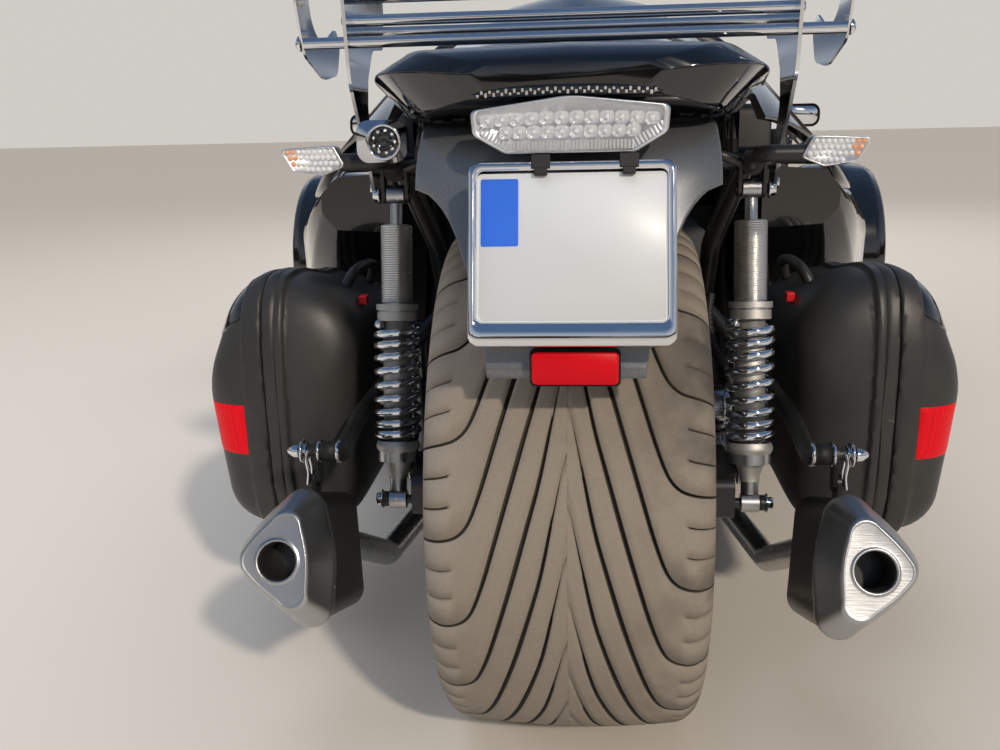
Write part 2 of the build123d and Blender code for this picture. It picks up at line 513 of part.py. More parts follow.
# dashboard with a hood over the gauges, hung on the bar between the front posts
dash_line = [(1700, 560), (1688, 664), (1740, 718), (1846, 722), (1846, 700), (1752, 694), (1712, 654), (1722, 560)]
dash = side_form(dash_line, [4, 24, 16, 4, 4, 10, 18, 4], 0, 860)
COLUMN_A, COLUMN_B = (-SEAT_X, 1480, 640), (-SEAT_X, 1690, 590)
hood = side_form([(1672, 690), (1664, 742), (1770, 744), (1800, 700)], [6, 16, 20, 6], COLUMN_A[0], 196)
hood -= block(COLUMN_A[0] - 88, COLUMN_A[0] + 88, 1650, 1696, 690, 734)
dash += hood
for x in (-200, 200):
    dash += block(x - 4, x + 4, 1708, DASH_BAR[0] - CROSS_R - SEAT_GAP, 584, 660)


def on_column(y):
    share = (y - COLUMN_A[1]) / (COLUMN_B[1] - COLUMN_A[1])
    return tuple(a + (b - a) * share for a, b in zip(COLUMN_A, COLUMN_B))


COLUMN_R = 11
dash += rod(on_column(1560), on_column(1706), 22)
dash -= rod(COLUMN_A, on_column(1780), COLUMN_R + FIT)
put(dash, "dashboard")

wheel_plane = Plane(origin=(COLUMN_A[0], at(COLUMN_A[1]), COLUMN_A[2]), x_dir=(1, 0, 0),
                    z_dir=(0, COLUMN_B[1] - COLUMN_A[1], COLUMN_B[2] - COLUMN_A[2]))
steer = Torus(160, 13) + Cylinder(38, 24) + Box(320, 30, 10) + Pos(0, -80, 0) * Box(34, 160, 10)
steer += Pos(0, 0, 90) * Cylinder(COLUMN_R, 180)
put(wheel_plane * steer, "steering_wheel")

# rear deck: open-bottomed hump between the seats and the tail
DECK_WALL = 6
DECK = [  # y, edge x z, shoulder x z, knee x z, crown z
    (124, 260, 782, 225, 848, 110, 874, 882),
    (300, 378, 736, 270, 852, 124, 908, 922),
    (500, 470, 668, 304, 850, 128, 954, 976),
    (640, 512, 646, 322, 846, 128, 978, 1006),
    (772, 545, 646, 336, 824, 140, 904, 926),
]


def deck_row(y, w, ze, ws, zs, wk, zk, zc, drop=0.0, wall=0.0):
    half = [(w, ze), (ws, zs), (wk, zk)]
    points = half + [(0, zc)] + [(-x, z) for x, z in reversed(half)]
    radii = [3, 50, 90, 120, 90, 50, 3]
    if wall:
        points = inset(points, wall)
        points[0], points[-1] = (points[0][0], ze - drop), (points[-1][0], ze - drop)
        radii = [2, 44, 84, 114, 84, 44, 2]
    return y, points, radii


deck_outer = hull([deck_row(*row) for row in DECK])
inner_rows = [deck_row(*row, drop=9, wall=DECK_WALL) for row in DECK]
inner_rows[0] = (DECK[0][0] - 1, *inner_rows[0][1:])
inner_rows[-1] = (DECK[-1][0] + 1, *inner_rows[-1][1:])
deck = deck_outer - hull(inner_rows)
deck_boss = rod(DECK_BOSS, (*DECK_BOSS[:2], 900), 10) & deck_outer
put(deck + deck_boss + mirrored(deck_boss), "rear_deck")

# tail cowl: flat bull-nose with a crease all round, lamp strip let into its rear face
COWL = [  # y, half width, bottom, crease, top
    (-252, 104, 818, 835, 846),
    (-240, 152, 806, 839, 857),
    (-200, 196, 797, 839, 866),
    (-120, 220, 790, 837, 870),
    (0, 238, 784, 832, 873),
    (120, 256, 778, 828, 879),
]


def cowl_row(y, w, zb, zm, zt, wall=0.0):
    half = [(0.80 * w, zb), (w, zm), (0.78 * w, zt - 0.18 * (zt - zm))]
    points = half + [(0, zt)] + [(-x, z) for x, z in reversed(half)]
    soft = (zt - zb) / 100
    radii = [16 * soft, 9 * soft, 40 * soft, 260 * soft, 40 * soft, 9 * soft, 16 * soft]
    if wall:
        points, radii = inset(points, wall), [max(2, r - wall * soft) for r in radii]
    return y, points, radii


cowl = hull([cowl_row(*row) for row in COWL])
cowl -= hull([cowl_row(*row, wall=DECK_WALL) for row in COWL[2:-1]]
             + [(COWL[-1][0] + 1, *cowl_row(*COWL[-1], wall=DECK_WALL)[1:])])
STRIP = (92, -250, -232, 812, 827)       # half width, y0, y1, z0, z1
cowl -= block(-STRIP[0] - SEAT_GAP, STRIP[0] + SEAT_GAP, STRIP[1] - 20, STRIP[2] + SEAT_GAP, STRIP[3] - SEAT_GAP,
              STRIP[4] + SEAT_GAP)
FENDER_PAD = (100, -175, 785)            # top of the pads of the rear fender that carry the cowl
for x, y, z in (COWL_BOSS, FENDER_PAD):
    boss = rod((x, y, z), (x, y, z + 24), 9)
    cowl += boss + mirrored(boss)
put(cowl, "tail_cowl")
put(block(-STRIP[0], STRIP[0], *STRIP[1:]), "strip_lamp")

# side pods: rear pod from the case to the hoop, long pod beside the cockpit with an air intake
REAR_POD = [  # y, (x, z) of inner top, outer top, bulge top, bulge low, outer bottom, inner bottom, radii
    (386, [(304, 706), (398, 700), (428, 672), (428, 640), (404, 612), (304, 606)], [8, 18, 18, 18, 12, 8]),
    (470, [(340, 688), (446, 670), (478, 622), (476, 540), (440, 450), (340, 450)], [8, 26, 40, 40, 20, 8]),
    (600, [(392, 656), (484, 644), (520, 588), (518, 460), (478, 310), (392, 310)], [8, 30, 60, 60, 20, 8]),
    (HOOP_Y - SEAT_GAP, [(POD_X, 640), (548, 632), (586, 566), (582, 420), (532, 214), (POD_X, 214)], [6, 20, 70, 80, 8, 6]),
]
SIDE_POD = [
    (HOOP_Y, [(POD_X, 640), (548, 632), (586, 566), (582, 420), (532, 214), (POD_X, 214)], [6, 20, 70, 80, 8, 6]),
    (950, [(POD_X, 640), (558, 634), (594, 566), (592, 400), (534, 194), (POD_X, 194)], [6, 24, 70, 90, 8, 6]),
    (SCUTTLE_Y - 356, [(POD_X, 640), (558, 634), (594, 566), (592, 400), (534, 194), (POD_X, 194)],
     [6, 24, 70, 90, 8, 6]),
    (SCUTTLE_Y - 6, [(POD_X, 632), (546, 628), (574, 560), (572, 400), (530, 200), (POD_X, 200)], [6, 18, 60, 80, 8, 6]),
]
intake = [(y, inset(SIDE_POD[-1][1], 9), [3, 10, 50, 70, 4, 3]) for y in (SCUTTLE_Y - 70, SCUTTLE_Y)]
side_pod = hull(SIDE_POD)
blades = Compound(children=[block(500, 600, SCUTTLE_Y - 50, SCUTTLE_Y - 14, z, z + 7) for z in range(250, 620, 52)])
side_pod = (side_pod - hull(intake)) + [blade & side_pod for blade in blades.solids()]
put(Compound(children=[*both(side_pod).solids(), *both(hull(REAR_POD)).solids()]), "side_panels")

# nose: hollow tapering shell, open to the cockpit, with lamp pockets and a grille mouth
NOSE_WALL = 7
NOSE = [  # station past the scuttle, (x, z) of bottom, middle, shoulder, top, radii
    (0, [(500, 186), (542, 450), (505, 628), (262, 726)], [24, 120, 60, 160]),
    (110, [(410, 180), (480, 444), (450, 620), (250, 718)], [24, 120, 60, 140]),
    (230, [(330, 173), (416, 420), (392, 600), (228, 700)], [24, 120, 60, 120]),
    (430, [(262, 162), (334, 380), (314, 552), (188, 642)], [24, 100, 60, 90]),
    (894, [(240, 152), (330, 290), (296, 430), (150, 494)], [24, 70, 60, 90]),
    (1190, [(204, 152), (268, 232), (240, 318), (118, 356)], [20, 34, 36, 60]),
    (NOSE_LENGTH - 14, [(170, 164), (212, 212), (190, 268), (96, 290)], [16, 22, 22, 40]),
    (NOSE_LENGTH, [(140, 176), (172, 212), (156, 252), (80, 268)], [12, 16, 16, 28]),
]


def nose_row(station_y, half, radii):
    return SCUTTLE_Y + station_y, whole(half), radii + radii[::-1]


nose_outer = hull([nose_row(*row) for row in NOSE])
nose = shell([nose_row(*row) for row in NOSE], NOSE_WALL, open_back=True, open_front=False)
flange = block(474, 560, SCUTTLE_Y, SCUTTLE_Y + 10, 300, 560) & nose_outer
nose += flange + mirrored(flange)
rail_way = tube(RAIL[:4], RAIL_R + 3, [300, 100])
nose -= rail_way
nose -= mirrored(rail_way)
mouth = SCUTTLE_Y + NOSE_LENGTH
for z in (196, 216):
    nose -= block(-112, 112, mouth - 40, mouth + 20, z, z + 13)
for s in (-1, 1):
    low_y, high_y = WHEELBASE + s * LOWER_PIVOT[1], WHEELBASE + s * UPPER_PIVOT[1]
    for m in (-1, 1):
        nose -= rod((m * 232, low_y, 208.6), (m * (LOWER_PIVOT[0] + 30), low_y, LOWER_PIVOT[2] + 4), 22)
        nose -= rod((m * 290, high_y, UPPER_PIVOT[2]), (m * (UPPER_PIVOT[0] + 30), high_y, UPPER_PIVOT[2]), 22)
for m in (-1, 1):
    nose -= rod((m * 286, WHEELBASE - 30, shock_tower[2] + 40), (m * 380, WHEELBASE - 30, shock_tower[2] + 40), 14)
LAMP_R, LAMP_TILT, LAMP_SPLAY = 46, 24, 14
LAMP_AT = (188, SCUTTLE_Y + 968, 366)
lamp_axis = Pos(LAMP_AT[0], at(LAMP_AT[1]), LAMP_AT[2]) * Rot(LAMP_TILT - 90, 0, 0) * Rot(0, LAMP_SPLAY, 0)
pocket = lamp_axis * Pos(0, 0, 40) * Cylinder(LAMP_R + SEAT_GAP, 160)
nose -= pocket
nose -= mirrored(pocket)
# socket that holds each lamp, fused inside the hood
socket = lamp_axis * (Cylinder(LAMP_R + 5, 140) - Pos(0, 0, 30) * Cylinder(LAMP_R + SEAT_GAP, 140))
socket &= nose_outer
nose += socket
nose += mirrored(socket)
put(nose, "nose_shell")
lamp = lamp_axis * (Pos(0, 0, -20) * Cylinder(LAMP_R, 36) + Pos(0, 0, -2) * Cylinder(LAMP_R - 5, 8))
put(both(lamp), "head_lamps")

# low wind deflector: a bent sheet on the scuttle
SCREEN_T = 4
SCREEN = [  # y, half width, z at the edge, at the quarter, at the middle
    (SCUTTLE_Y - 16, 400, 726, 742, 752),
    (SCUTTLE_Y - 96, 392, 764, 802, 816),
    (SCUTTLE_Y - 156, 376, 796, 858, 878),
]


def screen_row(y, w, ze, zq, zm):
    upper = [(-w, ze), (-0.72 * w, zq), (0, zm), (0.72 * w, zq), (w, ze)]
    points = upper + [(x, z - SCREEN_T) for x, z in reversed(upper)]
    return y, points, [1, 120, 400, 120, 1, 1, 120, 400, 120, 1]


put(hull([screen_row(*row) for row in SCREEN]), "windscreen")

# mirrors: rounded heads on bent arms that stand on the guard tubes
mirror_head = fillet(Box(104, 34, 62).edges().filter_by(Axis.Y), 24)
mirror_head = fillet(mirror_head.faces().sort_by(Axis.Y)[-1].edges(), 12)
MIRROR = (604, SCUTTLE_Y - 260, 772)
foot_x, foot_y, foot_z = (a + (b - a) * 0.8 for a, b in zip(GUARD[3], GUARD[4]))
mirror_arm = tube([(foot_x, foot_y, foot_z + GUARD_R + SEAT_GAP), (foot_x, foot_y, 705),
                   (MIRROR[0] - 4, MIRROR[1] + 4, MIRROR[2] - 20)], 7, 14)
mirrors = mirror_arm + Pos(MIRROR[0], at(MIRROR[1]), MIRROR[2]) * Rot(0, 0, 10) * mirror_head
put(both(mirrors), "mirrors")

# rear fender: arched sheet with concave cut-outs beside the plate, cheeks and lamp bracket
FENDER_T, GUARD_HALF = 4, 181
GUARD_LINE = [(-150, 787), (-224, 767), (-262, 728), (-290, 662), (-324, 560)]
guard_top = FilletPolyline(*[Vector(0, at(y), z) for y, z in GUARD_LINE], radius=24)
guard_face = make_face(guard_top + Line((0, at(-324), 560), (0, at(-320), 559))
                       + FilletPolyline(*[Vector(0, at(y + FENDER_T), z - 1) for y, z in GUARD_LINE], radius=22)
                       + Line((0, at(-150), 787), (0, at(-146), 786)))
guard_sheet = extrude(guard_face, amount=GUARD_HALF, dir=(1, 0, 0), both=True)
scallop = make_face(FilletPolyline((192, 0, 716), (174, 0, 706), (112, 0, 640), (78, 0, 560), (78, 0, 530),
                                   (192, 0, 530), radius=8, close=True))
scallop = Pos(0, at(-400), 0) * extrude(scallop, amount=200, dir=(0, 1, 0))
guard_sheet -= scallop
guard_sheet -= mirrored(scallop)
CHEEK = [(-146, 786), (-224, 764), (-256, 730), (-262, 712), (-150, 716), (40, 722), (40, 780)]
cheek = side_form(CHEEK, [4, 20, 8, 8, 40, 16, 16], GUARD_HALF - FENDER_T / 2, FENDER_T)
lamp_bracket = block(-60, 60, -261.7, -226, 764, 786) + block(-60, 60, -232, -170, 764, 768)
guard_sheet += cheek + mirrored(cheek) + lamp_bracket
pad = rod((*FENDER_PAD[:2], 774), (*FENDER_PAD[:2], FENDER_PAD[2] - SEAT_GAP), 9)
guard_sheet += pad + mirrored(pad)
REFLECTOR = (0, -333, 556)
guard_sheet += block(-34, 34, REFLECTOR[1] + 4.5 + SEAT_GAP, -319, 542, 572)
# standoffs of the plate holder
plate_plane = Plane(origin=(0, at(-326), 668), x_dir=(1, 0, 0),
                    z_dir=(0, -math.cos(math.radians(PLATE_TILT)), math.sin(math.radians(PLATE_TILT))))
HOLDER_T = 9
for x, y, reach in ((60, -40, 38), (60, 60, 44)):
    length = reach - HOLDER_T / 2 - SEAT_GAP
    standoff = plate_plane * Pos(x, y, length / 2 - reach) * Cylinder(7, length)
    guard_sheet += standoff + mirrored(standoff)
put(guard_sheet, "rear_fender")

# number plate on its holder: chrome frame with a deep lower lip
PLATE_W, PLATE_H, PLATE_T = 190, 150, 1.6
holder = fillet((Pos(0, -6, 0) * Box(206, 184, HOLDER_T)).edges().filter_by(Axis.Z), 9)
holder -= Pos(0, 6, 4) * fillet(Box(PLATE_W + 2, PLATE_H + 2, 9).edges().filter_by(Axis.Z), 6)
for x in (-50, 50):
    holder += Pos(x, 84, 3) * Box(16, 12, 10)
holder -= Pos(0, 6, -0.5 + SEAT_GAP + PLATE_T / 2) * Box(PLATE_W + 1, PLATE_H + 1, PLATE_T + 2 * SEAT_GAP)
put(plate_plane * holder, "plate_holder")
plate = fillet(Box(PLATE_W, PLATE_H, PLATE_T).edges().filter_by(Axis.Z), 6)
put(plate_plane * Pos(0, 6, -0.5 + SEAT_GAP + PLATE_T / 2) * plate, "number_plate")
reflector = fillet(Box(88, 9, 36).edges().filter_by(Axis.Y), 8)
put(Pos(REFLECTOR[0], at(REFLECTOR[1]), REFLECTOR[2]) * reflector, "rear_reflector")

# tail lamp, indicators and rear camera
lamp_points = [(-98, 797), (0, 813), (98, 797), (96, 778), (64, 760), (-64, 760), (-96, 778)]
lamp_radii = [5, 220, 5, 10, 14, 14, 10]
tail = hull([(-302, [(x * 0.94, z) for x, z in lamp_points], lamp_radii), (-262, lamp_points, lamp_radii)])
put(tail, "tail_lamp")
ind = hull([(-152, [(IND_X, 733), (324, 748), (330, 757), (300, 767), (IND_X, 767)], [4, 6, 5, 6, 6]),
            (-124, [(IND_X, 730), (330, 746), (336, 757), (302, 770), (IND_X, 770)], [4, 8, 6, 8, 8])])
put(both(ind), "indicators")
POD = (-207, -158, 776)
pod = Pos(POD[0], at(POD[1]), POD[2]) * Rot(90, 0, 0) * (Cylinder(20, 30) - Pos(0, 0, 13) * Cylinder(16, 8)
                                                        + Pos(0, 0, 6) * Cylinder(9, 8))
put(pod + block(-213, -201, -146, -106, 758.3, 764), "camera_pod")

# chrome rack: shaped side plates joined by tubes
PLATE_X, HORN_X, TUBE_R = 252, 305, 6.5
SICKLE = [(34, 690), (8, 690), (-22, 744), (-64, 792), (-98, 838), (-113, 960), (-98, 1008), (-58, 1008),
          (-44, 958), (10, 958), (60, 998), (98, 992), (112, 940), (100, 882), (30, 878), (-4, 842), (-16, 800),
          (8, 760), (34, 718)]
SICKLE_R = [6, 10, 60, 60, 60, 60, 14, 14, 18, 18, 14, 12, 50, 16, 30, 14, 40, 20, 8]
HORN = [(-108, 992), (-114, 924), (-92, 868), (-10, 842), (58, 850), (78, 886), (62, 908), (-10, 882), (-54, 904),
        (-72, 992)]
HORN_RADII = [8, 40, 30, 80, 24, 12, 12, 50, 40, 8]
plates = side_form(SICKLE, SICKLE_R, PLATE_X, 4) + side_form(HORN, HORN_RADII, HORN_X, 3)
put(both(plates), "rack_plates")
TUBES = [(-82, 904), (82, 946), (84, 904), (-84, 984)]     # y and z of the tubes between the inner plates
LONG_TUBE = (-92, 880)
span = PLATE_X - 2.1
tubes = [rod((-span, y, z), (span, y, z), TUBE_R) for y, z in TUBES + [LONG_TUBE]]
outer_end = rod((PLATE_X + 2.1, *LONG_TUBE), (HORN_X - 1.6, *LONG_TUBE), TUBE_R)
put(Compound(children=tubes + [outer_end, mirrored(outer_end)]), "rack_tubes")

# mufflers: soft three-cornered cans with a cast cap, joined to the engine by a pipe
MUFFLER_TILT = 21.5
CAN = [(-10, 50, 24), (-22, -52, 24), (38, -2, 20)]      # x, z, r of the three corners seen from behind
muffler_at = Pos(318, at(-176), 283) * Rot(-MUFFLER_TILT, 0, 0)


def can_row(y, scale, grow=0.0, dx=0.0):
    """Outline of the can: its three corner circles joined by their tangents."""
    corners = [(x * scale + dx, z * scale, r * scale + grow) for x, z, r in CAN]
    return belt(corners, lambda x, z: (x, y, z))


can = Solid.make_loft([can_row(-68, 1), can_row(96, 1)], ruled=True)
can += Solid.make_loft([can_row(96, 1), can_row(124, 0.6)], ruled=True)
cap = Solid.make_loft([can_row(-84, 1, 3), can_row(-68 - SEAT_GAP, 1, 3)], ruled=True)
cap += Solid.make_loft([can_row(-114, 0.66, 0, 5), can_row(-104, 0.86, 0, 2), can_row(-84, 1, 3)], ruled=True)
cap -= Pos(6, -95, -2) * Rot(90, 0, 0) * Cylinder(21, 60)
ear = side_plate([(*LINK_LOW, 10), (LINK_LOW[0], LINK_LOW[1] - 31, 14)], LINK_X + 5 + SEAT_GAP, 5)
ear -= across(LINK_X, *LINK_LOW, 5 + FIT, 60)
put(both(muffler_at * can + ear), "muffler_bodies")
put(both(muffler_at * cap), "muffler_caps")
pipe_end = (muffler_at * Pos(0, 124 + SEAT_GAP, 0)).position
pipe_turn = (muffler_at * Pos(0, 190, 0)).position
PIPE_R, PORT = 20, (205, 642)
pipe = tube([(p.X, p.Y - REAR_AXLE_Y, p.Z) for p in (pipe_end, pipe_turn)]
            + [(300, 170, 118), (262, 420, 112), (*PORT, 112), (*PORT, ENGINE_Z - SEAT_GAP)], PIPE_R, 30)
put(both(pipe), "exhaust_pipes")

# panniers: soft hard-shell cases with a raised band, an outer lid hinged at its lower edge
CASE_MIDDLE = (402, 412)
CASE = [(291, 597, 50), (462, 604, 90), (525, 455, 150), (500, 228, 62), (300, 226, 66)]   # x, z, corner radius
CASE_Y = [(4, 0.80), (26, 0.93), (84, 1.0), (298, 1.0), (356, 0.93), (378, 0.80)]          # y, scale
CASE_WALL, SPLIT_X = 6, 402


def case_row(y, scale, wall=0.0):
    cx, cz = CASE_MIDDLE
    points = [(cx + (x - cx) * scale, cz + (z - cz) * scale) for x, z, _ in CASE]
    radii = [r * scale for _, _, r in CASE]
    if wall:
        points, radii = inset(points, wall), [max(4, r - wall) for r in radii]
    return y, points, radii


case = hull([case_row(*row) for row in CASE_Y])
band = hull([case_row(y, scale + 0.014) for y, scale in CASE_Y])
case += band & block(SPLIT_X - 14, SPLIT_X + 14, -100, 600, 100, 700)
hollow = hull([case_row(CASE_Y[0][0] + CASE_WALL, *CASE_Y[0][1:], CASE_WALL)]
              + [case_row(*row, CASE_WALL) for row in CASE_Y[1:-1]]
              + [case_row(CASE_Y[-1][0] - CASE_WALL, *CASE_Y[-1][1:], CASE_WALL)])
case -= hollow
HINGE_X, HINGE_Z, HINGE_R, HINGE_PIN_R = SPLIT_X + 1, 213, 8, 3
inner_half = case & block(200, SPLIT_X, -100, 600, 100, 700)
outer_half = case & block(SPLIT_X + SEAT_GAP, 700, -100, 600, 100, 700)
LEAF_TOP = 236
HINGE = (150, 172, 210, 232)             # ends of the two outer knuckles along y
knuckles = rod((HINGE_X, HINGE[0], HINGE_Z), (HINGE_X, HINGE[1], HINGE_Z), HINGE_R)
knuckles += rod((HINGE_X, HINGE[2], HINGE_Z), (HINGE_X, HINGE[3], HINGE_Z), HINGE_R)
knuckles += rod((HINGE_X, HINGE[0] + 2, HINGE_Z), (HINGE_X, HINGE[3] - 2, HINGE_Z), HINGE_PIN_R)
for y0, y1 in (HINGE[:2], HINGE[2:]):
    knuckles += block(SPLIT_X - 12, SPLIT_X, y0, y1, HINGE_Z, LEAF_TOP)
handle = tube([(350, 150, 596), (350, 150, 616), (350, 276, 616), (350, 276, 596)], 9, 14)
bosses = [rod((x, y, z), (x + 20, y, z), 13) for x, y, z, root in CASE_BOSSES]
put(both(inner_half + handle + knuckles + bosses), "pannier_shells")
middle_knuckle = rod((HINGE_X, HINGE[1] + 0.5, HINGE_Z), (HINGE_X, HINGE[2] - 0.5, HINGE_Z), HINGE_R)
middle_knuckle += block(SPLIT_X + SEAT_GAP, SPLIT_X + 12, HINGE[1] + 0.5, HINGE[2] - 0.5, HINGE_Z, LEAF_TOP)
middle_knuckle -= rod((HINGE_X, HINGE[0], HINGE_Z), (HINGE_X, HINGE[3], HINGE_Z), HINGE_PIN_R + FIT)
put(outer_half + middle_knuckle, "pannier_lid_right")
put(mirrored(outer_half + middle_knuckle), "pannier_lid_left")
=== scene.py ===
"""Reverse trike, dressed for its render: metres, +Z up, +Y forward, +X the rider's right.

Tables, profiles and outlines are in millimetres, y measured forward from the rear axle.
"""
import bpy
import bmesh
import json
import math
from mathutils import Matrix, Vector

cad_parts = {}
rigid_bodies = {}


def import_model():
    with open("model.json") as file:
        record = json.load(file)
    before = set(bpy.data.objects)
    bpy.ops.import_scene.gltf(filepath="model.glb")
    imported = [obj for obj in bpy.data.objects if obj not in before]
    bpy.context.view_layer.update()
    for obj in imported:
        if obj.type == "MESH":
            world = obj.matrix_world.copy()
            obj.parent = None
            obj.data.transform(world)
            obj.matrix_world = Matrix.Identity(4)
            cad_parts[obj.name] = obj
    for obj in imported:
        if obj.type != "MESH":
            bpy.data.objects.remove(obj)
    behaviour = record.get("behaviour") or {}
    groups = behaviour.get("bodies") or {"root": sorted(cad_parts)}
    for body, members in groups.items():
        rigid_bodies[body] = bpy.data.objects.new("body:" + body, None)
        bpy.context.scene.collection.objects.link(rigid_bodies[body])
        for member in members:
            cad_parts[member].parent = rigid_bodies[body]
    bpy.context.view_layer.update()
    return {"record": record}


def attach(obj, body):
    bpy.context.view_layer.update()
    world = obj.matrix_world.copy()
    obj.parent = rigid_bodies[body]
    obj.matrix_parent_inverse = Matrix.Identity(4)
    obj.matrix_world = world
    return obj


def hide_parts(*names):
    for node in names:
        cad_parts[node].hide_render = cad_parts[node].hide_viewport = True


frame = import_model()

# driving sizes, as in the CAD model
REAR_AXLE_Y, WHEELBASE = -1402.5, 2286
REAR_R, REAR_RIM_R = 332, 228.6
FRONT_R, FRONT_W, FRONT_RIM_R = 291, 195, 203.2
TRACK_X = 865
PLATE_TILT = math.radians(17.4)
SIDES = ((1, "right"), (-1, "left"))


def mm(x, y, z):
    """Offset in metres from millimetres."""
    return Vector((x, y, z)) / 1000


def spot(x, y, z):
    """Point in the frame from millimetres, y from the rear axle."""
    return Vector((x / 1000, (y + REAR_AXLE_Y) / 1000, z / 1000))


def flip(p, side):
    """The point itself on the right, its mirror image on the left."""
    return Vector((p.x * side, p.y, p.z))


def turns(n):
    """n even angles round a circle."""
    return [2 * math.pi * i / n for i in range(n)]


# shader helpers
def colour(code):
    """sRGB hex to linear RGBA."""
    out = []
    for i in (0, 2, 4):
        c = int(code[i:i + 2], 16) / 255
        out.append(c / 12.92 if c <= 0.04045 else ((c + 0.055) / 1.055) ** 2.4)
    return (*out, 1.0)


def feed(tree, slot, value):
    """Link a socket to the slot, or set the slot to a plain value."""
    if isinstance(value, bpy.types.NodeSocket):
        tree.links.new(value, slot)
    else:
        slot.default_value = value


def add(tree, kind, *values, **named):
    """Add a shader node; values feed its inputs in order, keywords name inputs or properties."""
    node = tree.nodes.new(kind)
    for key, value in named.items():
        slot = node.inputs.get(key.replace("_", " "))
        if slot is None:
            setattr(node, key, value)
        else:
            feed(tree, slot, value)
    for slot, value in zip(node.inputs, values):
        feed(tree, slot, value)
    return node


def maths(tree, operation, a, b):
    return add(tree, "ShaderNodeMath", a, b, operation=operation).outputs[0]


def mix_rgb(tree, factor, a, b):
    node = add(tree, "ShaderNodeMix", data_type="RGBA")
    for i, value in ((0, factor), (6, a), (7, b)):
        feed(tree, node.inputs[i], value)
    return node.outputs[2]


def ramp(tree, source, low, high, out_low=0.0, out_high=1.0):
    return add(tree, "ShaderNodeMapRange", source, low, high, out_low, out_high).outputs[0]


def coords(tree):
    return add(tree, "ShaderNodeTexCoord").outputs["Object"]


def noise(tree, scale, detail=3.0, rough=0.5, vector=None):
    return add(tree, "ShaderNodeTexNoise", Vector=vector or coords(tree), Scale=scale, Detail=detail,
               Roughness=rough).outputs[0]


def bump(tree, height, strength, distance):
    return add(tree, "ShaderNodeBump", Height=height, Strength=strength, Distance=distance).outputs[0]


MATERIALS = {}


def start(name):
    """Empty node tree of a new material."""
    mat = bpy.data.materials.new(name)
    mat.use_nodes = True
    mat.node_tree.nodes.clear()
    MATERIALS[name] = mat
    return mat.node_tree


def shade(tree, **values):
    """Finish a material: keywords are inputs of its surface shader."""
    surface = add(tree, "ShaderNodeBsdfPrincipled", **values)
    add(tree, "ShaderNodeOutputMaterial", surface.outputs[0])


def painted(name, base, rough, coat=0.0, metallic=0.0, grain=0.0, grain_mm=1.0, dust=0.0, dust_tone="8d8577",
            flake=0.0):
    """Paint or plastic: even colour, dust settled in soft patches, fine grain, metal flake."""
    tree = start(name)
    tone = colour(base)
    if flake:
        dark, pale = (tuple(min(1, c * share) for c in tone[:3]) + (1,) for share in (1 - flake, 1 + flake))
        tone = mix_rgb(tree, ramp(tree, noise(tree, 1400.0, 1.0), 0.35, 0.65), dark, pale)
    if dust:
        patches = ramp(tree, noise(tree, 9.0, 5.0, 0.6), 0.42, 0.75)
        tone = mix_rgb(tree, maths(tree, "MULTIPLY", patches, dust), tone, colour(dust_tone))
        rough = ramp(tree, patches, 0.0, 1.0, rough, min(1.0, rough + 0.25 * dust + 0.05))
    relief = {"Normal": bump(tree, noise(tree, 1000.0 / grain_mm, 2.0), grain, 0.0004)} if grain else {}
    shade(tree, Base_Color=tone, Roughness=rough, Metallic=metallic, Coat_Weight=coat, Coat_Roughness=0.03,
          **relief)


def metal(name, base, rough, brush=0.0, brush_axis=(1, 1, 60), dirt=0.0):
    """Bare metal with faint brush lines and smudged roughness."""
    tree = start(name)
    values = {"Base_Color": colour(base)}
    if brush:
        stretched = add(tree, "ShaderNodeMapping", Vector=coords(tree), Scale=brush_axis).outputs[0]
        values["Normal"] = bump(tree, noise(tree, 40.0, 2.0, 0.5, stretched), brush, 0.0003)
    if dirt:
        spots = ramp(tree, noise(tree, 30.0, 6.0, 0.7), 0.55, 0.8, 0.0, dirt)
        values["Base_Color"] = mix_rgb(tree, spots, colour(base), colour("3a342c"))
    smudge = ramp(tree, noise(tree, 14.0, 4.0, 0.6), 0.35, 0.8, rough, rough + 0.10 + dirt)
    shade(tree, Metallic=1.0, Roughness=smudge, **values)


def clear(name, tint, rough, weight):
    """See-through moulding or glass."""
    shade(start(name), Base_Color=colour(tint), Roughness=rough, Transmission_Weight=weight, IOR=1.45)


def glazing(name, tint, rough):
    """Thin clear cover: mostly see-through, glossy where it is seen aslant."""
    shade(start(name), Base_Color=colour(tint), Roughness=rough, Alpha=0.16, Coat_Weight=1.0)


def prismatic(name, tint, cell_mm, glow):
    """Moulded lens with small pyramid cells under a smooth face, and a painted glow: it emits light though it
    is no lamp.
    """
    tree = start(name)
    cells = add(tree, "ShaderNodeTexVoronoi", Vector=coords(tree), Scale=1000.0 / cell_mm,
                distance="CHEBYCHEV", Randomness=0.0).outputs["Distance"]
    dark = tuple(c * 0.45 for c in colour(tint)[:3]) + (1,)
    # the emission is a painted glow
    shade(tree, Base_Color=mix_rgb(tree, ramp(tree, cells, 0.0, 0.6), colour(tint), dark), Roughness=0.4,
          Specular_IOR_Level=0.15, Normal=bump(tree, cells, 0.6, 0.001), Emission_Color=colour(tint),
          Emission_Strength=glow)


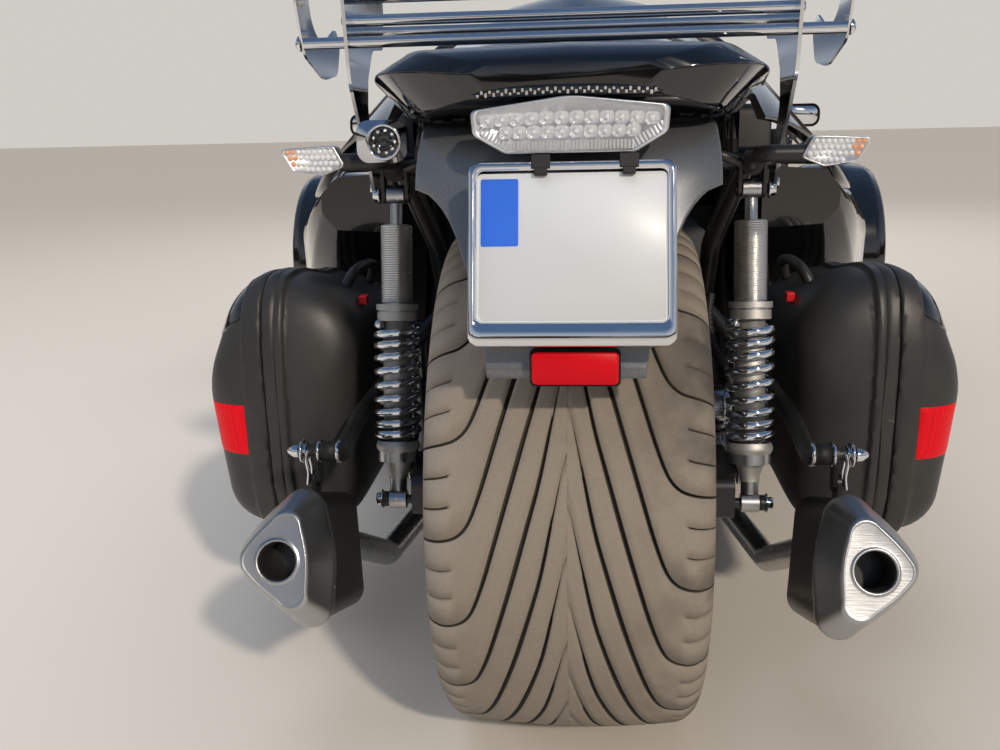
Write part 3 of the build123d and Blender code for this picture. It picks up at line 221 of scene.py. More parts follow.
def rubber(name, base, patch_tone, rough):
    """Tread rubber, dusty on the crown, with broad darker patches that gather towards its right shoulder."""
    tree = start(name)
    broad = ramp(tree, noise(tree, 7.0, 4.0, 0.6), 0.50, 0.66)
    fine = ramp(tree, noise(tree, 260.0, 4.0, 0.7), 0.3, 0.7, 0.0, 0.35)
    dusty = mix_rgb(tree, fine, colour(base), colour("938a7e"))
    across = add(tree, "ShaderNodeSeparateXYZ", coords(tree)).outputs[0]
    patch = maths(tree, "MULTIPLY", broad, ramp(tree, across, 0.06, 0.15, 0.12, 0.85))
    shade(tree, Base_Color=mix_rgb(tree, patch, dusty, colour(patch_tone)), Roughness=rough,
          Normal=bump(tree, noise(tree, 700.0, 3.0, 0.6), 0.35, 0.0005))


# deep black paint under clear coat, a film of dust on it
painted("black_gloss", "07080a", 0.10, coat=1.0, dust=0.015)
# powder-coated tubes and arms
painted("frame_black", "131314", 0.38, coat=0.2, dust=0.06)
# sand-cast crankcase, blasted and lacquered
painted("engine_grey", "5b5c5d", 0.5, metallic=0.6, grain=0.3, grain_mm=3)
# rolled steel links with old oil on them
metal("chain_steel", "5a554e", 0.42, dirt=0.4)
# moulded case plastic with a fine leather grain
painted("matte_black", "272727", 0.42, grain=0.3, grain_mm=0.7, dust=0.05)
# weatherproof vinyl upholstery
painted("seat_black", "161617", 0.55, grain=0.6, grain_mm=1.6)
# smoked polycarbonate
painted("smoked_lens", "0b0b0d", 0.08, coat=1.0)
# metallic lacquer on pressed steel
painted("fender_grey", "6d7073", 0.36, metallic=0.6, coat=0.5, dust=0.05, flake=0.25)
# polished plating
metal("chrome", "e6e7ea", 0.05, dirt=0.02)
# blank reflective sheet on aluminium
painted("plate_white", "c9cdd0", 0.36, coat=0.2, dust=0.04)
# pressed acrylic reflex lens, with a painted glow
prismatic("reflector_red", "e20a1c", 3.2, 0.22)
# heat-proof satin enamel
painted("muffler_black", "101011", 0.34, coat=0.15, dust=0.06)
# brushed stainless steel
metal("satin_steel", "b9babb", 0.24, brush=0.25, dirt=0.05)
# sidewall rubber
painted("tyre", "26241f", 0.7, grain=0.5, grain_mm=2.0, dust=0.25, dust_tone="5d564b")
# cast wheel with a lacquered face
metal("rim_silver", "8d8f91", 0.3, dirt=0.08)
# machined and blasted aluminium
metal("cast_alloy", "7d7f80", 0.42, dirt=0.1)
# clear polycarbonate lens
clear("clear_lens", "eef2f6", 0.03, 0.9)
# tinted acrylic sheet
clear("screen_glass", "4a5054", 0.02, 0.85)
# tread rubber with road dust and darker patches, and painted shade on the floors of its grooves, a little
# dust on it
rubber("tread_dusty", "7e756a", "3b3834", 0.82)
painted("tread_groove", "2f2b27", 0.92, dust=0.3, dust_tone="4b443c")
# turned steel; linished, cut thread and bead-blasted stainless steel
metal("steel_bright", "d2d3d4", 0.14, dirt=0.06)
metal("steel_brushed", "b4b5b6", 0.34, brush=0.5, brush_axis=(1, 1, 14), dirt=0.03)
metal("steel_thread", "dad8d3", 0.27, dirt=0.05)
metal("steel_dull", "c6c4bf", 0.50, dirt=0.12)
# burnt-on soot in the outlets
painted("soot", "0a0908", 0.8, grain=0.4, grain_mm=2)
# polished plastic inset, moulded rubber, red plastic lever
painted("case_gloss", "08090b", 0.10, coat=1.0)
painted("black_rubber", "121212", 0.6, grain=0.3, grain_mm=1.0)
painted("tab_red", "c8141a", 0.4)
# printed blue film
painted("plate_blue", "2763cc", 0.35, coat=0.2, dust=0.03)
# metallised plastic bowls, small moulded lenses, coated glass and a thin clear cover
metal("lamp_silver", "f2f3f5", 0.30)
painted("led_clear", "d8dade", 0.12, coat=1.0)
painted("led_amber", "e08a1c", 0.2, coat=1.0)
painted("lens_coat", "101a2c", 0.03, coat=1.0)
glazing("lens_thin", "f4f6f8", 0.02)
# printed gauge marks, red needle and upholstery thread
painted("gauge_white", "d8d8d4", 0.5)
painted("lens_red", "b4121c", 0.12, coat=1.0)
painted("thread_grey", "3a3a3c", 0.7)

# the slot of the record that each extra material belongs to
SLOTS = {mat: slot for slot, mats in (
    ("tyre", "tread_dusty tread_groove"),
    ("satin_steel", "steel_bright steel_brushed steel_thread steel_dull"),
    ("matte_black", "case_gloss black_rubber tab_red gauge_white lens_red"), ("plate_white", "plate_blue"),
    ("clear_lens", "lamp_silver led_clear lens_coat lens_thin"), ("seat_black", "thread_grey"))
    for mat in mats.split()}

for part in frame["record"]["subparts"]:
    node = bpy.data.objects[part["node"]]
    mat = MATERIALS[part["material_slot"]]
    if node.material_slots:
        for slot in node.material_slots:
            slot.material = mat
    else:
        node.data.materials.append(mat)


# mesh builders
def link(name, bm, *mats, body="chassis", smooth=True, slot=None):
    """Make an object of bm that rides on a body; its slot, given or that of its first material, is worked out
    but not kept.
    """
    mesh = bpy.data.meshes.new(name)
    bmesh.ops.recalc_face_normals(bm, faces=bm.faces)
    bm.to_mesh(mesh)
    bm.free()
    obj = bpy.data.objects.new(name, mesh)
    bpy.context.scene.collection.objects.link(obj)
    for mat in mats:
        mesh.materials.append(MATERIALS[mat])
    mesh.polygons.foreach_set("use_smooth", [smooth] * len(mesh.polygons))
    slot = slot or SLOTS.get(mats[0], mats[0])
    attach(obj, body)
    return obj


def bevel(obj, width, segments=2):
    """Round the sharp edges of an object."""
    mod = obj.modifiers.new("bevel", "BEVEL")
    mod.width, mod.segments = width / 1000, segments
    mod.limit_method = "ANGLE"
    mod.angle_limit = math.radians(35)
    mod.harden_normals = True


def skin_rings(bm, rings, closed=True, caps=True, mat=0):
    """Quads between rings of equal length; returns the rings of vertices."""
    grid = [[bm.verts.new(p) for p in ring] for ring in rings]
    for a, b in zip(grid, grid[1:]):
        n = len(a)
        for i in range(n if closed else n - 1):
            j = (i + 1) % n
            bm.faces.new((a[i], a[j], b[j], b[i])).material_index = mat
    if caps and closed:
        bm.faces.new(list(reversed(grid[0]))).material_index = mat
        bm.faces.new(grid[-1]).material_index = mat
    return grid


def revolve(bm, centre, axis, profile, steps=48, mat=0):
    """Turn (along, radius) points about an axis through centre."""
    axis = Vector(axis).normalized()
    side = axis.orthogonal().normalized()
    other = axis.cross(side)
    rays = [side * math.cos(a) + other * math.sin(a) for a in turns(steps)]
    skin_rings(bm, [[centre + axis * (along / 1000) + ray * (radius / 1000) for ray in rays]
                    for along, radius in profile], caps=False, mat=mat)


def plug(bm, centre, axis, radius, near, far, steps):
    """Round bar between two distances along an axis."""
    revolve(bm, centre, axis, [(near, 0.1), (near, radius), (far, radius), (far, 0.1)], steps)


def sweep(bm, path, radius, sides=10):
    """Round tube along points, the section carried along without twist."""
    n = len(path)
    rings, side = [], None
    for i, p in enumerate(path):
        along = (path[min(i + 1, n - 1)] - path[max(i - 1, 0)]).normalized()
        side = (along.orthogonal() if side is None else side - along * side.dot(along)).normalized()
        other = along.cross(side)
        r = (radius(i / (n - 1)) if callable(radius) else radius) / 1000
        rings.append([p + (side * math.cos(t) + other * math.sin(t)) * r for t in turns(sides)])
    skin_rings(bm, rings)


def slab(bm, lo, hi):
    """Axis-aligned box between two corners."""
    ring = [(lo[0], lo[1]), (hi[0], lo[1]), (hi[0], hi[1]), (lo[0], hi[1])]
    skin_rings(bm, [[(x, y, z) for x, y in ring] for z in (lo[2], hi[2])])


def bolt(bm, place, axis, width, height, washer=True):
    """Hexagon head with a washer, seated at place and standing out along axis."""
    low, rim, head = height * 0.18, width * 0.72, width * 0.5
    if washer:
        revolve(bm, place, axis, [(0, rim), (low, rim), (low, 0.1)], 24)
    revolve(bm, place, axis, [(low, head), (height * 0.85, head), (height, width * 0.42), (height, 0.1)], 6)


def rounded(corners, radius, steps=5):
    """2-D outline with its corners rounded; radius is one value or one for each corner."""
    out, n = [], len(corners)
    radii = radius if isinstance(radius, (list, tuple)) else [radius] * n
    for i, corner in enumerate(corners):
        p = Vector(corner)
        a, b = (Vector(corners[i - 1]) - p).normalized(), (Vector(corners[(i + 1) % n]) - p).normalized()
        half = math.acos(max(-1.0, min(1.0, a.dot(b)))) / 2
        if radii[i] <= 0 or abs(math.sin(half)) > 0.9999:
            out.append(p)
            continue
        middle = p + (a + b).normalized() * (radii[i] / math.sin(half))
        first, last = (p + ray * (radii[i] / math.tan(half)) - middle for ray in (a, b))
        turn = math.atan2(first.x * last.y - first.y * last.x, first.dot(last))
        for k in range(steps + 1):
            t = turn * k / steps
            out.append(middle + Vector((first.x * math.cos(t) - first.y * math.sin(t),
                                        first.x * math.sin(t) + first.y * math.cos(t))))
    return out


def panel(u0, u1, v0, v1, radius, steps=5):
    """Outline of a rectangle with round corners."""
    return rounded([(u0, v0), (u1, v0), (u1, v1), (u0, v1)], radius, steps)


def centroid(points):
    return sum(points, Vector((0, 0))) / len(points)


def stack(bm, outline, middle, place, rows, caps=False):
    """Skin through copies of an outline, each scaled about a middle and set at a depth."""
    return skin_rings(bm, [[place(*(middle + (p - middle) * grow), depth) for p in outline]
                           for grow, depth in rows], caps=caps)


def prism(bm, outline, place, near, far, edge=0.0):
    """Solid between two depths from a 2-D outline, its near rim eased by edge."""
    middle = centroid(outline)
    rings = []
    for depth, pull in ((far, 0.0), (near - math.copysign(edge, near - far), 0.0), (near, edge)):
        rings.append([place(*(p + (middle - p).normalized() * pull), depth) for p in outline])
    skin_rings(bm, rings)


def smooth_path(points, steps):
    """Catmull-Rom curve through points."""
    out, last = [], len(points) - 1
    for i in range(last):
        p0, p1, p2, p3 = (points[min(max(k, 0), last)] for k in (i - 1, i, i + 1, i + 2))
        for k in range(steps):
            t = k / steps
            out.append(0.5 * ((2 * p1) + (p2 - p0) * t + (2 * p0 - 5 * p1 + 4 * p2 - p3) * t * t
                              + (3 * p1 - p0 - 3 * p2 + p3) * t ** 3))
    return out + [points[-1]]


def table(points, x):
    """Value at x on straight runs between points."""
    for (x0, y0), (x1, y1) in zip(points, points[1:]):
        if x <= x1:
            return y0 + (y1 - y0) * max(0.0, x - x0) / (x1 - x0)
    return points[-1][1]


def ease(t):
    """Smooth step from 0 to 1."""
    t = max(0.0, min(1.0, t))
    return t * t * (3 - 2 * t)


# rear tyre: directional V tread cut into a smooth carcass
SHOULDER, CROWN = 34, 7.5    # radius of the shoulder, drop of the crown towards it
TREAD_PITCHES = 20
TREAD_W = 310                # over the shoulder ribs
GROOVE_DEPTH, GROOVE_WALL = 6, 1.2
# a groove's middle: distance from the centre line, and how far round the tyre it lies from its apex
GROOVE_RUN = ((0, -35), (7, 0), (28, 105), (57, 211), (87, 317), (99, 353), (107, 368), (118, 377),
              (132, 381), (160, 385))
GROOVE_WIDTH = ((0, 0), (7, 1), (20, 3.8), (50, 5.2), (85, 4.6), (104, 3.6), (145, 3), (160, 3))
SIPE_FROM_X, SIPE_WIDTH, SIPE_SHARE = 122, 3.5, 0.7
# front tyre: rain grooves by their distance from the middle, slits across the shoulders
FRONT_STEPS, FRONT_GROOVES, FRONT_WALLS = 168, (17, 46), ((-4.6, 0), (-3.8, 1), (3.8, 1), (4.6, 0))
FRONT_COLUMNS = (0, 30, 56, 60, 66, 72, 78, 84, 88, 92, 95, 96.8)
SLIT_DEPTH, SLIT_FROM, SLIT_TO, SLIT_LEAN = 3.5, 58, 94, 0.00035


def groove_run(x):
    """Middle of a groove at distance x from the centre line, its bends smoothed."""
    return sum(table(GROOVE_RUN, max(0.0, x + shift)) for shift in (-4, -2, 0, 2, 4)) / 5


def tyre_radius(x, radius, width):
    """Outer radius at distance x from the tyre's middle: slight crown, round shoulder."""
    flat = width / 2 - SHOULDER
    crown = radius - CROWN * (min(x, flat) / flat) ** 2
    if x <= flat:
        return crown
    return crown - SHOULDER * (1 - math.sqrt(max(0.0, 1 - ((x - flat) / SHOULDER) ** 2)))


def sidewall(bm, centre, side, half, radius, bead, first):
    """Wall from the shoulder down to the bead, with two raised ribs."""
    revolve(bm, centre, (side, 0, 0), [
        (half - 0.3, first), (half, radius - 40), (half - 1.5, radius - 47), (half - 0.3, radius - 54),
        (half - 2, bead + 34), (half - 0.5, bead + 30), (half - 4, bead + 22), (half - 16, bead + 2),
        (half - 34, bead)], 96, 2)


def tread_rows(x):
    """(angle within the pitch, depth share) of each mesh row at distance x from the centre line."""
    half, pitch = TREAD_W / 2, 2 * math.pi / TREAD_PITCHES
    slope = abs(groove_run(x + 1) - groove_run(x - 1)) / 2
    lean = math.sqrt(1 + slope * slope) / REAR_R
    wide = min(table(GROOVE_WIDTH, x) * lean, pitch * 0.5)
    deep = min(1.0, table(GROOVE_WIDTH, x) / 3)
    edge = min(GROOVE_WALL * lean, wide * 0.22)
    rows = [(-wide / 2, 0.0), (-wide / 2 + edge, deep), (wide / 2 - edge, deep), (wide / 2, 0.0)]
    sipe, free = SIPE_WIDTH / REAR_R, pitch - wide
    nick = SIPE_SHARE if SIPE_FROM_X < x < half - 1 else 0.0
    for k in (1, 2):
        mid = wide / 2 + free * k / 3
        rows += [(mid - free * 0.12, 0.0), (mid - sipe / 2, 0.0), (mid - sipe * 0.3, nick),
                 (mid + sipe * 0.3, nick), (mid + sipe / 2, 0.0)]
    return rows


def rear_tyre():
    """Both halves of the tread, their grooves half a pitch apart, and the sidewalls."""
    half, pitch = TREAD_W / 2, 2 * math.pi / TREAD_PITCHES
    columns = [0, 4, 7] + [11 + 4.5 * i for i in range(20)] + [100 + 3.5 * i for i in range(12)]
    columns += [half - d for d in (9.5, 6, 3, 1.2, 0.3)]
    bm = bmesh.new()
    for side in (-1, 1):
        grid, sunk = [], []
        for x in columns:
            turn = groove_run(x) / REAR_R + (pitch / 2 if side > 0 else 0.0)
            base = tyre_radius(x, REAR_R, TREAD_W)
            fade = 1.0 if x < half - 4 else 0.4
            # the angle grows downwards over the back of the tyre
            rows = [(pitch * p + shift + turn, depth)
                    for p in range(TREAD_PITCHES) for shift, depth in tread_rows(x)]
            reach = [base - GROOVE_DEPTH * depth * fade for _, depth in rows]
            grid.append([bm.verts.new(spot(side * x, -r * math.cos(a), REAR_R - r * math.sin(a)))
                         for r, (a, _) in zip(reach, rows)])
            sunk.append([depth for _, depth in rows])
        for a, b, da, db in zip(grid, grid[1:], sunk, sunk[1:]):
            for i in range(len(a)):
                j = (i + 1) % len(a)
                face = bm.faces.new((a[i], a[j], b[j], b[i]))
                # faces deep in a groove take the painted shade
                face.material_index = 1 if da[i] + da[j] + db[i] + db[j] > 1.9 else 0
        sidewall(bm, spot(0, 0, REAR_R), side, half, REAR_R, REAR_RIM_R,
                 tyre_radius(half - 0.3, REAR_R, TREAD_W))
    tyre = link("rear_tyre_tread", bm, "tread_dusty", "tread_groove", "tyre", body="wheel_rear")
    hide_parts("tyre_rear")


def front_tyre(side, name):
    """Road tyre with four rain grooves round it and slanted slits across the shoulders."""
    x_mid = side * TRACK_X
    columns = sorted([(g + d, deep) for g in FRONT_GROOVES for d, deep in FRONT_WALLS]
                     + [(x, 0) for x in FRONT_COLUMNS])
    rings = []
    for x, deep in [(-x, d) for x, d in reversed(columns[1:])] + columns:
        ring = []
        for i, a in enumerate(turns(FRONT_STEPS)):
            slit = SLIT_DEPTH if i % 4 == 0 and SLIT_FROM < abs(x) < SLIT_TO else 0.0
            a += SLIT_LEAN * abs(x)
            r = tyre_radius(abs(x), FRONT_R, FRONT_W) - GROOVE_DEPTH * deep - slit
            ring.append(spot(x + x_mid, WHEELBASE + r * math.cos(a), FRONT_R + r * math.sin(a)))
        rings.append(ring)
    bm = bmesh.new()
    skin_rings(bm, rings, caps=False)
    for face in bm.faces:
        x = abs(face.calc_center_median().x * 1000 - x_mid)
        face.material_index = 1 if any(abs(x - g) < 4 for g in FRONT_GROOVES) else 0
    for s in (-1, 1):
        sidewall(bm, spot(x_mid, WHEELBASE, FRONT_R), s, FRONT_W / 2, FRONT_R, FRONT_RIM_R,
                 tyre_radius(FRONT_W / 2 - 0.7, FRONT_R, FRONT_W))
    tyre = link(f"front_tyre_{name}_tread", bm, "tyre", "tread_groove", "tyre", body=f"wheel_front_{name}")
    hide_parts(f"tyre_front_{name}")


# coil-overs: wire coils, threaded bodies, adjuster rings
REAR_SHOCK = (spot(224, 6, 700), spot(226, -72, 312))
FRONT_SHOCK = (spot(452, 2286, 452), spot(600, 2286, 212))
# both bolts, the spring's ends as shares of the way between them, turns, radius of wire and coil
SPRINGS = ((*REAR_SHOCK, 0.420, 0.797, 9.5, 5.4, 25.8), (*FRONT_SHOCK, 0.392, 0.788, 7, 5.2, 23.2))


def coil(bm, top, low, near, far, count, wire, radius):
    """Spring between two shares of the shock's length, its end turns closed up."""
    a, b = top.lerp(low, near), top.lerp(low, far)
    axis = (b - a).normalized()
    u = axis.orthogonal().normalized()
    v = axis.cross(u)
    path, last = [], int(count * 28)
    for i in range(last + 1):
        t = i / last
        turn = 2 * math.pi * count * t
        path.append(a.lerp(b, t - 0.030 * math.sin(2 * math.pi * t))
                    + (u * math.cos(turn) + v * math.sin(turn)) * (radius / 1000))
    sweep(bm, path, wire)


def springs():
    """All four springs as one piece."""
    bm = bmesh.new()
    for side, _ in SIDES:
        for top, low, *sizes in SPRINGS:
            coil(bm, flip(top, side), flip(low, side), *sizes)
    spring = link("spring_wire", bm, "chrome")
    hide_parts("shock_springs")


def shock_threads(side, name):
    """Fine thread on the upper body, two slotted rings, the tapered lower cup and the inner sleeve."""
    top, low = (flip(p, side) for p in REAR_SHOCK)
    axis, length = (low - top).normalized(), (low - top).length * 1000
    ridges, ridge, profile = 34, ((0, 19.2), (0.3, 20.6), (0.6, 20.6), (0.85, 19.2)), []
    step = length * 0.25 / ridges
    for i in range(ridges):
        base = length * 0.102 + step * i
        profile += [(base + step * share, r) for share, r in ridge]
    bm = bmesh.new()
    revolve(bm, top, axis, profile, 36)
    link(f"shock_thread_{name}", bm, "steel_thread")
    bm = bmesh.new()
    for share, thick, r in ((0.355, 8, 27.5), (0.380, 12, 26.2)):
        base = length * share
        revolve(bm, top, axis, [(base, 19), (base, r), (base + thick, r), (base + thick, 19)], 16)
    cup = length * 0.802
    revolve(bm, top, axis, [(cup, 26.2), (cup + 6, 28.6), (cup + 10, 28.2), (cup + 30, 17), (cup + 44, 12.5),
                            (cup + 50, 12.5)], 40)
    bevel(link(f"shock_rings_{name}", bm, "steel_dull"), 0.8)
    bm = bmesh.new()
    plug(bm, top, axis, 18.5, length * 0.40, length * 0.80, 32)
    link(f"shock_sleeve_{name}", bm, "steel_dull")


HANGER = (-112, 392)         # y and z of the bolt that holds the muffler


def shock_bolts(side, name):
    """Bolts of the shock, and the muffler's hanger with its washers, cap nut and wire straps."""
    out = (side, 0, 0)
    top, low = (flip(p, side) for p in REAR_SHOCK)
    bm = bmesh.new()
    bolt(bm, top + mm(side * 21, 0, 0), out, 17, 9)
    bolt(bm, low + mm(side * 20, 0, 0), out, 17, 9)
    bolt(bm, spot(side * 331, *HANGER), out, 15, 12)
    for x, wide in ((288, 4), (313, 3), (335, 3)):
        plug(bm, spot(side * x, *HANGER), out, 15, 0, wide, 28)
    revolve(bm, spot(side * 342, *HANGER), out, [(0, 8.5), (6, 8.5), (14, 3.5), (15, 0.1)], 20)
    for y in (-104, -120):
        strap = [spot(side * x, y, z) for x, z in ((328, 396), (331, 384), (329, 366), (331, 350))]
        sweep(bm, smooth_path(strap, 8), 2.6, 8)
    link(f"shock_bolts_{name}", bm, "chrome", slot="satin_steel")
    bm = bmesh.new()
    plug(bm, spot(side * 291, *HANGER), out, 12.8, 0, 22, 28)
    link(f"hanger_bush_{name}", bm, "black_rubber")


# mufflers: three-cornered cans with brushed caps
MUFFLER_CORNERS = ((-10, 50, 24), (-22, -52, 24), (38, -2, 20))      # x, z, radius
MUFFLER_AT = Matrix.Translation(spot(318, -176, 283)) @ Matrix.Rotation(math.radians(-21.5), 4, "X")
MUFFLER_STEPS = 84
# depth, scale, growth and shift outwards of each ring of the cap; depth and radius of the outlet
CAP_ROWS = ((-60, 1, 2.4), (-66, 1, 3.8), (-70, 1, 4), (-74.5, 0.985, 3.4), (-76, 0.975, 3.4),
            (-111, 0.745, 1.4, 3), (-113, 0.73, 1.2, 3), (-115.2, 0.705, 0, 3), (-115.6, 0.69, 0, 3),
            (-115.2, 0.675, 0, 3), (-115, 0.65, 0, 3))
OUTLET_ROWS = ((-115, 27), (-115, 25.2), (-116, 24.6), (-116, 22.8), (-115, 21.6), (-110, 21.4))
BORE_ROWS = ((-110, 21.4), (-108, 20.5), (-50, 20.5), (-50, 0.5))


def soft_triangle(scale=1.0, grow=0.0, dx=0.0):
    """Outline round the three corner circles, in even steps, its flats bowed out towards a circle."""
    rim = []
    for t in turns(MUFFLER_STEPS):
        ray = Vector((math.cos(t), math.sin(t)))
        x, z, r = max(MUFFLER_CORNERS, key=lambda corner: corner[0] * ray.x + corner[1] * ray.y + corner[2])
        rim.append(Vector((x, z)) + ray * r)
    total = [0.0]
    for p, q in zip(rim, rim[1:] + rim[:1]):
        total.append(total[-1] + (q - p).length)
    middle, out, k = Vector((2, -1)), [], 0
    for i in range(MUFFLER_STEPS):
        want = total[-1] * i / MUFFLER_STEPS
        while total[k + 1] < want:
            k += 1
        p, q = rim[k], rim[(k + 1) % MUFFLER_STEPS]
        away = p + (q - p) * ((want - total[k]) / (total[k + 1] - total[k])) - middle
        r = away.length + 0.22 * max(0.0, 64 - away.length)
        out.append(middle + away.normalized() * (r * scale + grow) + Vector((dx, 0)))
    return out


def muffler_cap(side, name):
    """Tapered steel end with a flat three-cornered face and the outlet flush in it."""
    def place(x, z, y):
        return flip(MUFFLER_AT @ mm(x, y, z), side)

    angles = [math.atan2(z + 1, x - 2) for x, z in soft_triangle()]

    def circles(rows):
        return [[place(5 + r * math.cos(t), r * math.sin(t) - 2, y) for t in angles] for y, r in rows]

    bm = bmesh.new()
    cone = [[place(*p, y) for p in soft_triangle(*shape)] for y, *shape in CAP_ROWS]
    skin_rings(bm, cone + circles(OUTLET_ROWS), caps=False)
    skin_rings(bm, circles(BORE_ROWS), caps=False, mat=1)
    cap = link(f"muffler_cap_{name}", bm, "steel_brushed", "soot")
    # rivets and the rolled seam where the can meets its cap
    bm = bmesh.new()
    for x, z in soft_triangle(1.0, 2.8)[::12]:
        p = place(x, z, -60)
        away = (p - place(0, 0, -60)).normalized()
        revolve(bm, p - away * 0.002, away, [(0, 3), (1.6, 2.6), (2.4, 0.1)], 12)
    link(f"muffler_rivets_{name}", bm, "steel_bright")
    bm = bmesh.new()
    skin_rings(bm, [[place(*p, y) for p in soft_triangle(1.0, grow)]
                    for y, grow in ((-66.5, 0.4), (-66.5, 2.2), (-54, 2.2), (-54, 0.4))], caps=False)
    link(f"muffler_band_{name}", bm, "muffler_black")
    return cap


# panniers: domed hard cases with a raised band round the split
CASE_X, CASE_Z = 402, 405    # middle of the section
# x, z and radius of the section's corners
CASE = ((288, 552, 90), (392, 590, 150), (464, 580, 84), (520, 446, 150), (496, 219, 62), (300, 219, 70))
CASE_ENDS, CASE_DOME, CASE_POWER = (2, 380), 96, 3.4
PARTING_X = 402              # where the lid leaves the shell, under the band
SPLIT_X, BAND_HALF, BAND_RISE, BAND_EDGE = 420, 30, 5.0, 2.5
SPLIT_HALF, SPLIT_FLOOR, SPLIT_DEPTH = 1.6, 0.7, 1.0                        # the groove in the band
HINGE_X, HINGE_Z = 403, 213
HINGE_R, LEAF, LEAF_TOP = 8, 14, 232
SHELL_KNUCKLES, LID_KNUCKLE = ((150, 172), (210, 232)), (172.5, 209.5)      # from y to y
CASE_MOUNTS = ((170, 455), (330, 459))                                      # y and z
CASE_GRIP = ((332, 132, 556), (324, 140, 572), (320, 160, 579), (319, 213, 579), (319, 266, 572),
             (322, 286, 562), (330, 294, 540))
# shares of the full section at the stations in each domed end
DOME_SHARES = (0.02, 0.15, 0.3, 0.45, 0.58, 0.68, 0.76, 0.83, 0.88, 0.92, 0.95, 0.972, 0.988, 0.996)
# angle round the section and rear edge of the glossy inset
INSERT_LINE = ((44, 80), (47, 54), (56, 29), (65, 20), (73, 20), (80, 24), (83.5, 36), (86, 66), (88, 110))
CASE_RIM = [p - Vector((CASE_X, CASE_Z))
            for p in rounded([row[:2] for row in CASE], [row[2] for row in CASE], 14)]


def case_reach(angle):
    """Distance from the case's middle to its outline."""
    ray = Vector((math.cos(angle), math.sin(angle)))
    for p, q in zip(CASE_RIM, CASE_RIM[1:] + CASE_RIM[:1]):
        edge = q - p
        turn = ray.cross(edge)
        if abs(turn) > 1e-9 and p.cross(edge) / turn > 0 and -1e-6 <= p.cross(ray) / turn <= 1 + 1e-6:
            return p.cross(edge) / turn
    return 0.0


def dome(depth):
    """Share of the full section left at a depth from the end of the case."""
    return (1 - (max(0.0, CASE_DOME - depth) / CASE_DOME) ** CASE_POWER) ** (1 / CASE_POWER)


def dome_depth(share):
    """Depth at which that share of the section is left."""
    return CASE_DOME * (1 - (1 - min(share, 0.9999) ** CASE_POWER) ** (1 / CASE_POWER))


def on_case(side, angle, y, lift=0.0):
    """Point on the case's skin; its back slopes down towards the front."""
    r = case_reach(angle) * dome(min(y - CASE_ENDS[0], CASE_ENDS[1] - y)) + lift
    slope = 1 - 0.17 * ease((y - 90) / 210) if math.sin(angle) > 0 else 1.0
    return spot(side * (CASE_X + r * math.cos(angle)), y, CASE_Z + r * math.sin(angle) * slope)


def cut(bm, x, normal_x=1, clear_inner=False):
    """New edges where the skin crosses a plane of constant x; the near side can be dropped."""
    bmesh.ops.bisect_plane(bm, geom=bm.verts[:] + bm.edges[:] + bm.faces[:], plane_co=(x / 1000, 0, 0),
                           plane_no=(normal_x, 0, 0), clear_inner=clear_inner)


def case_body(side):
    """Whole outer skin of one case, before it is parted at the split."""
    low, high = CASE_ENDS
    stations = [low + dome_depth(share) for share in DOME_SHARES]
    straight = [low + CASE_DOME + i * (high - low - 2 * CASE_DOME) / 12 for i in range(13)]
    stations += straight + [low + high - y for y in reversed(stations)]
    bm = bmesh.new()
    skin_rings(bm, [[on_case(side, a, y) for a in turns(120)] for y in stations])
    edges = [BAND_HALF + BAND_EDGE, BAND_HALF, BAND_HALF - BAND_EDGE, SPLIT_HALF, SPLIT_FLOOR]
    for dx in [-d for d in edges] + edges[::-1]:
        cut(bm, side * SPLIT_X + dx)
    bmesh.ops.recalc_face_normals(bm, faces=bm.faces)
    bm.normal_update()
    for vert in bm.verts:
        off = abs(vert.co.x * 1000 - side * SPLIT_X)
        flat = Vector((0, vert.normal.y, vert.normal.z))
        if flat.length < 0.05 or off > BAND_HALF + BAND_EDGE - 0.1:
            continue
        lift = BAND_RISE * ease((BAND_HALF + BAND_EDGE - off) / (2 * BAND_EDGE))
        if off < SPLIT_HALF + 0.1:
            lift = -SPLIT_DEPTH if off < SPLIT_FLOOR + 0.2 else BAND_RISE * 0.8
        vert.co += flat.normalized() * lift / 1000
    return bm


def pannier(side, name):
    """Fixed shell and hinged lid, cut from the same skin, each with the node it stands for."""
    cases = []
    for piece, body, outward, node in (("shell", "chassis", -side, "pannier_shells"),
                                       ("lid", f"lid_{name}", side, f"pannier_lid_{name}")):
        bm = case_body(side)
        cut(bm, side * PARTING_X + outward * 0.15, outward, True)
        case = link(f"case_{piece}_{name}", bm, "matte_black", body=body)
        mod = case.modifiers.new("wall", "SOLIDIFY")
        mod.thickness, mod.offset = 0.004, -1
        mod = case.modifiers.new("even shading", "WEIGHTED_NORMAL")
        mod.mode, mod.weight = "FACE_AREA", 70
        cases.append((case, [node]))
    return cases


def case_patch(title, mat, side, rows, columns, place):
    """Thin moulding that follows the lid's skin; place maps two shares to a point."""
    bm = bmesh.new()
    skin_rings(bm, [[place(side, i / rows, k / columns) for k in range(columns + 1)]
                    for i in range(rows + 1)], closed=False)
    name = dict(SIDES)[side]
    link(f"{title}_{name}", bm, mat, body=f"lid_{name}")


def rim_share(i, k, i_scale):
    """0 on the rim of a patch, 1 inside."""
    return min(1.0, min(k, 1 - k) * 12, min(i, 1 - i) * i_scale)


def case_insert(side, i, k):
    """Glossy inset over the lid's shoulder."""
    low, high = INSERT_LINE[0][0], INSERT_LINE[-1][0]
    turn = low + (high - low) * k
    back = sum(table(INSERT_LINE, turn + d) for d in (-2, -1, 0, 1, 2)) / 5
    front = sum(CASE_ENDS) - back
    return on_case(side, math.radians(turn), back + (front - back) * ease(i), 0.2 + 1.8 * rim_share(i, k, 40))


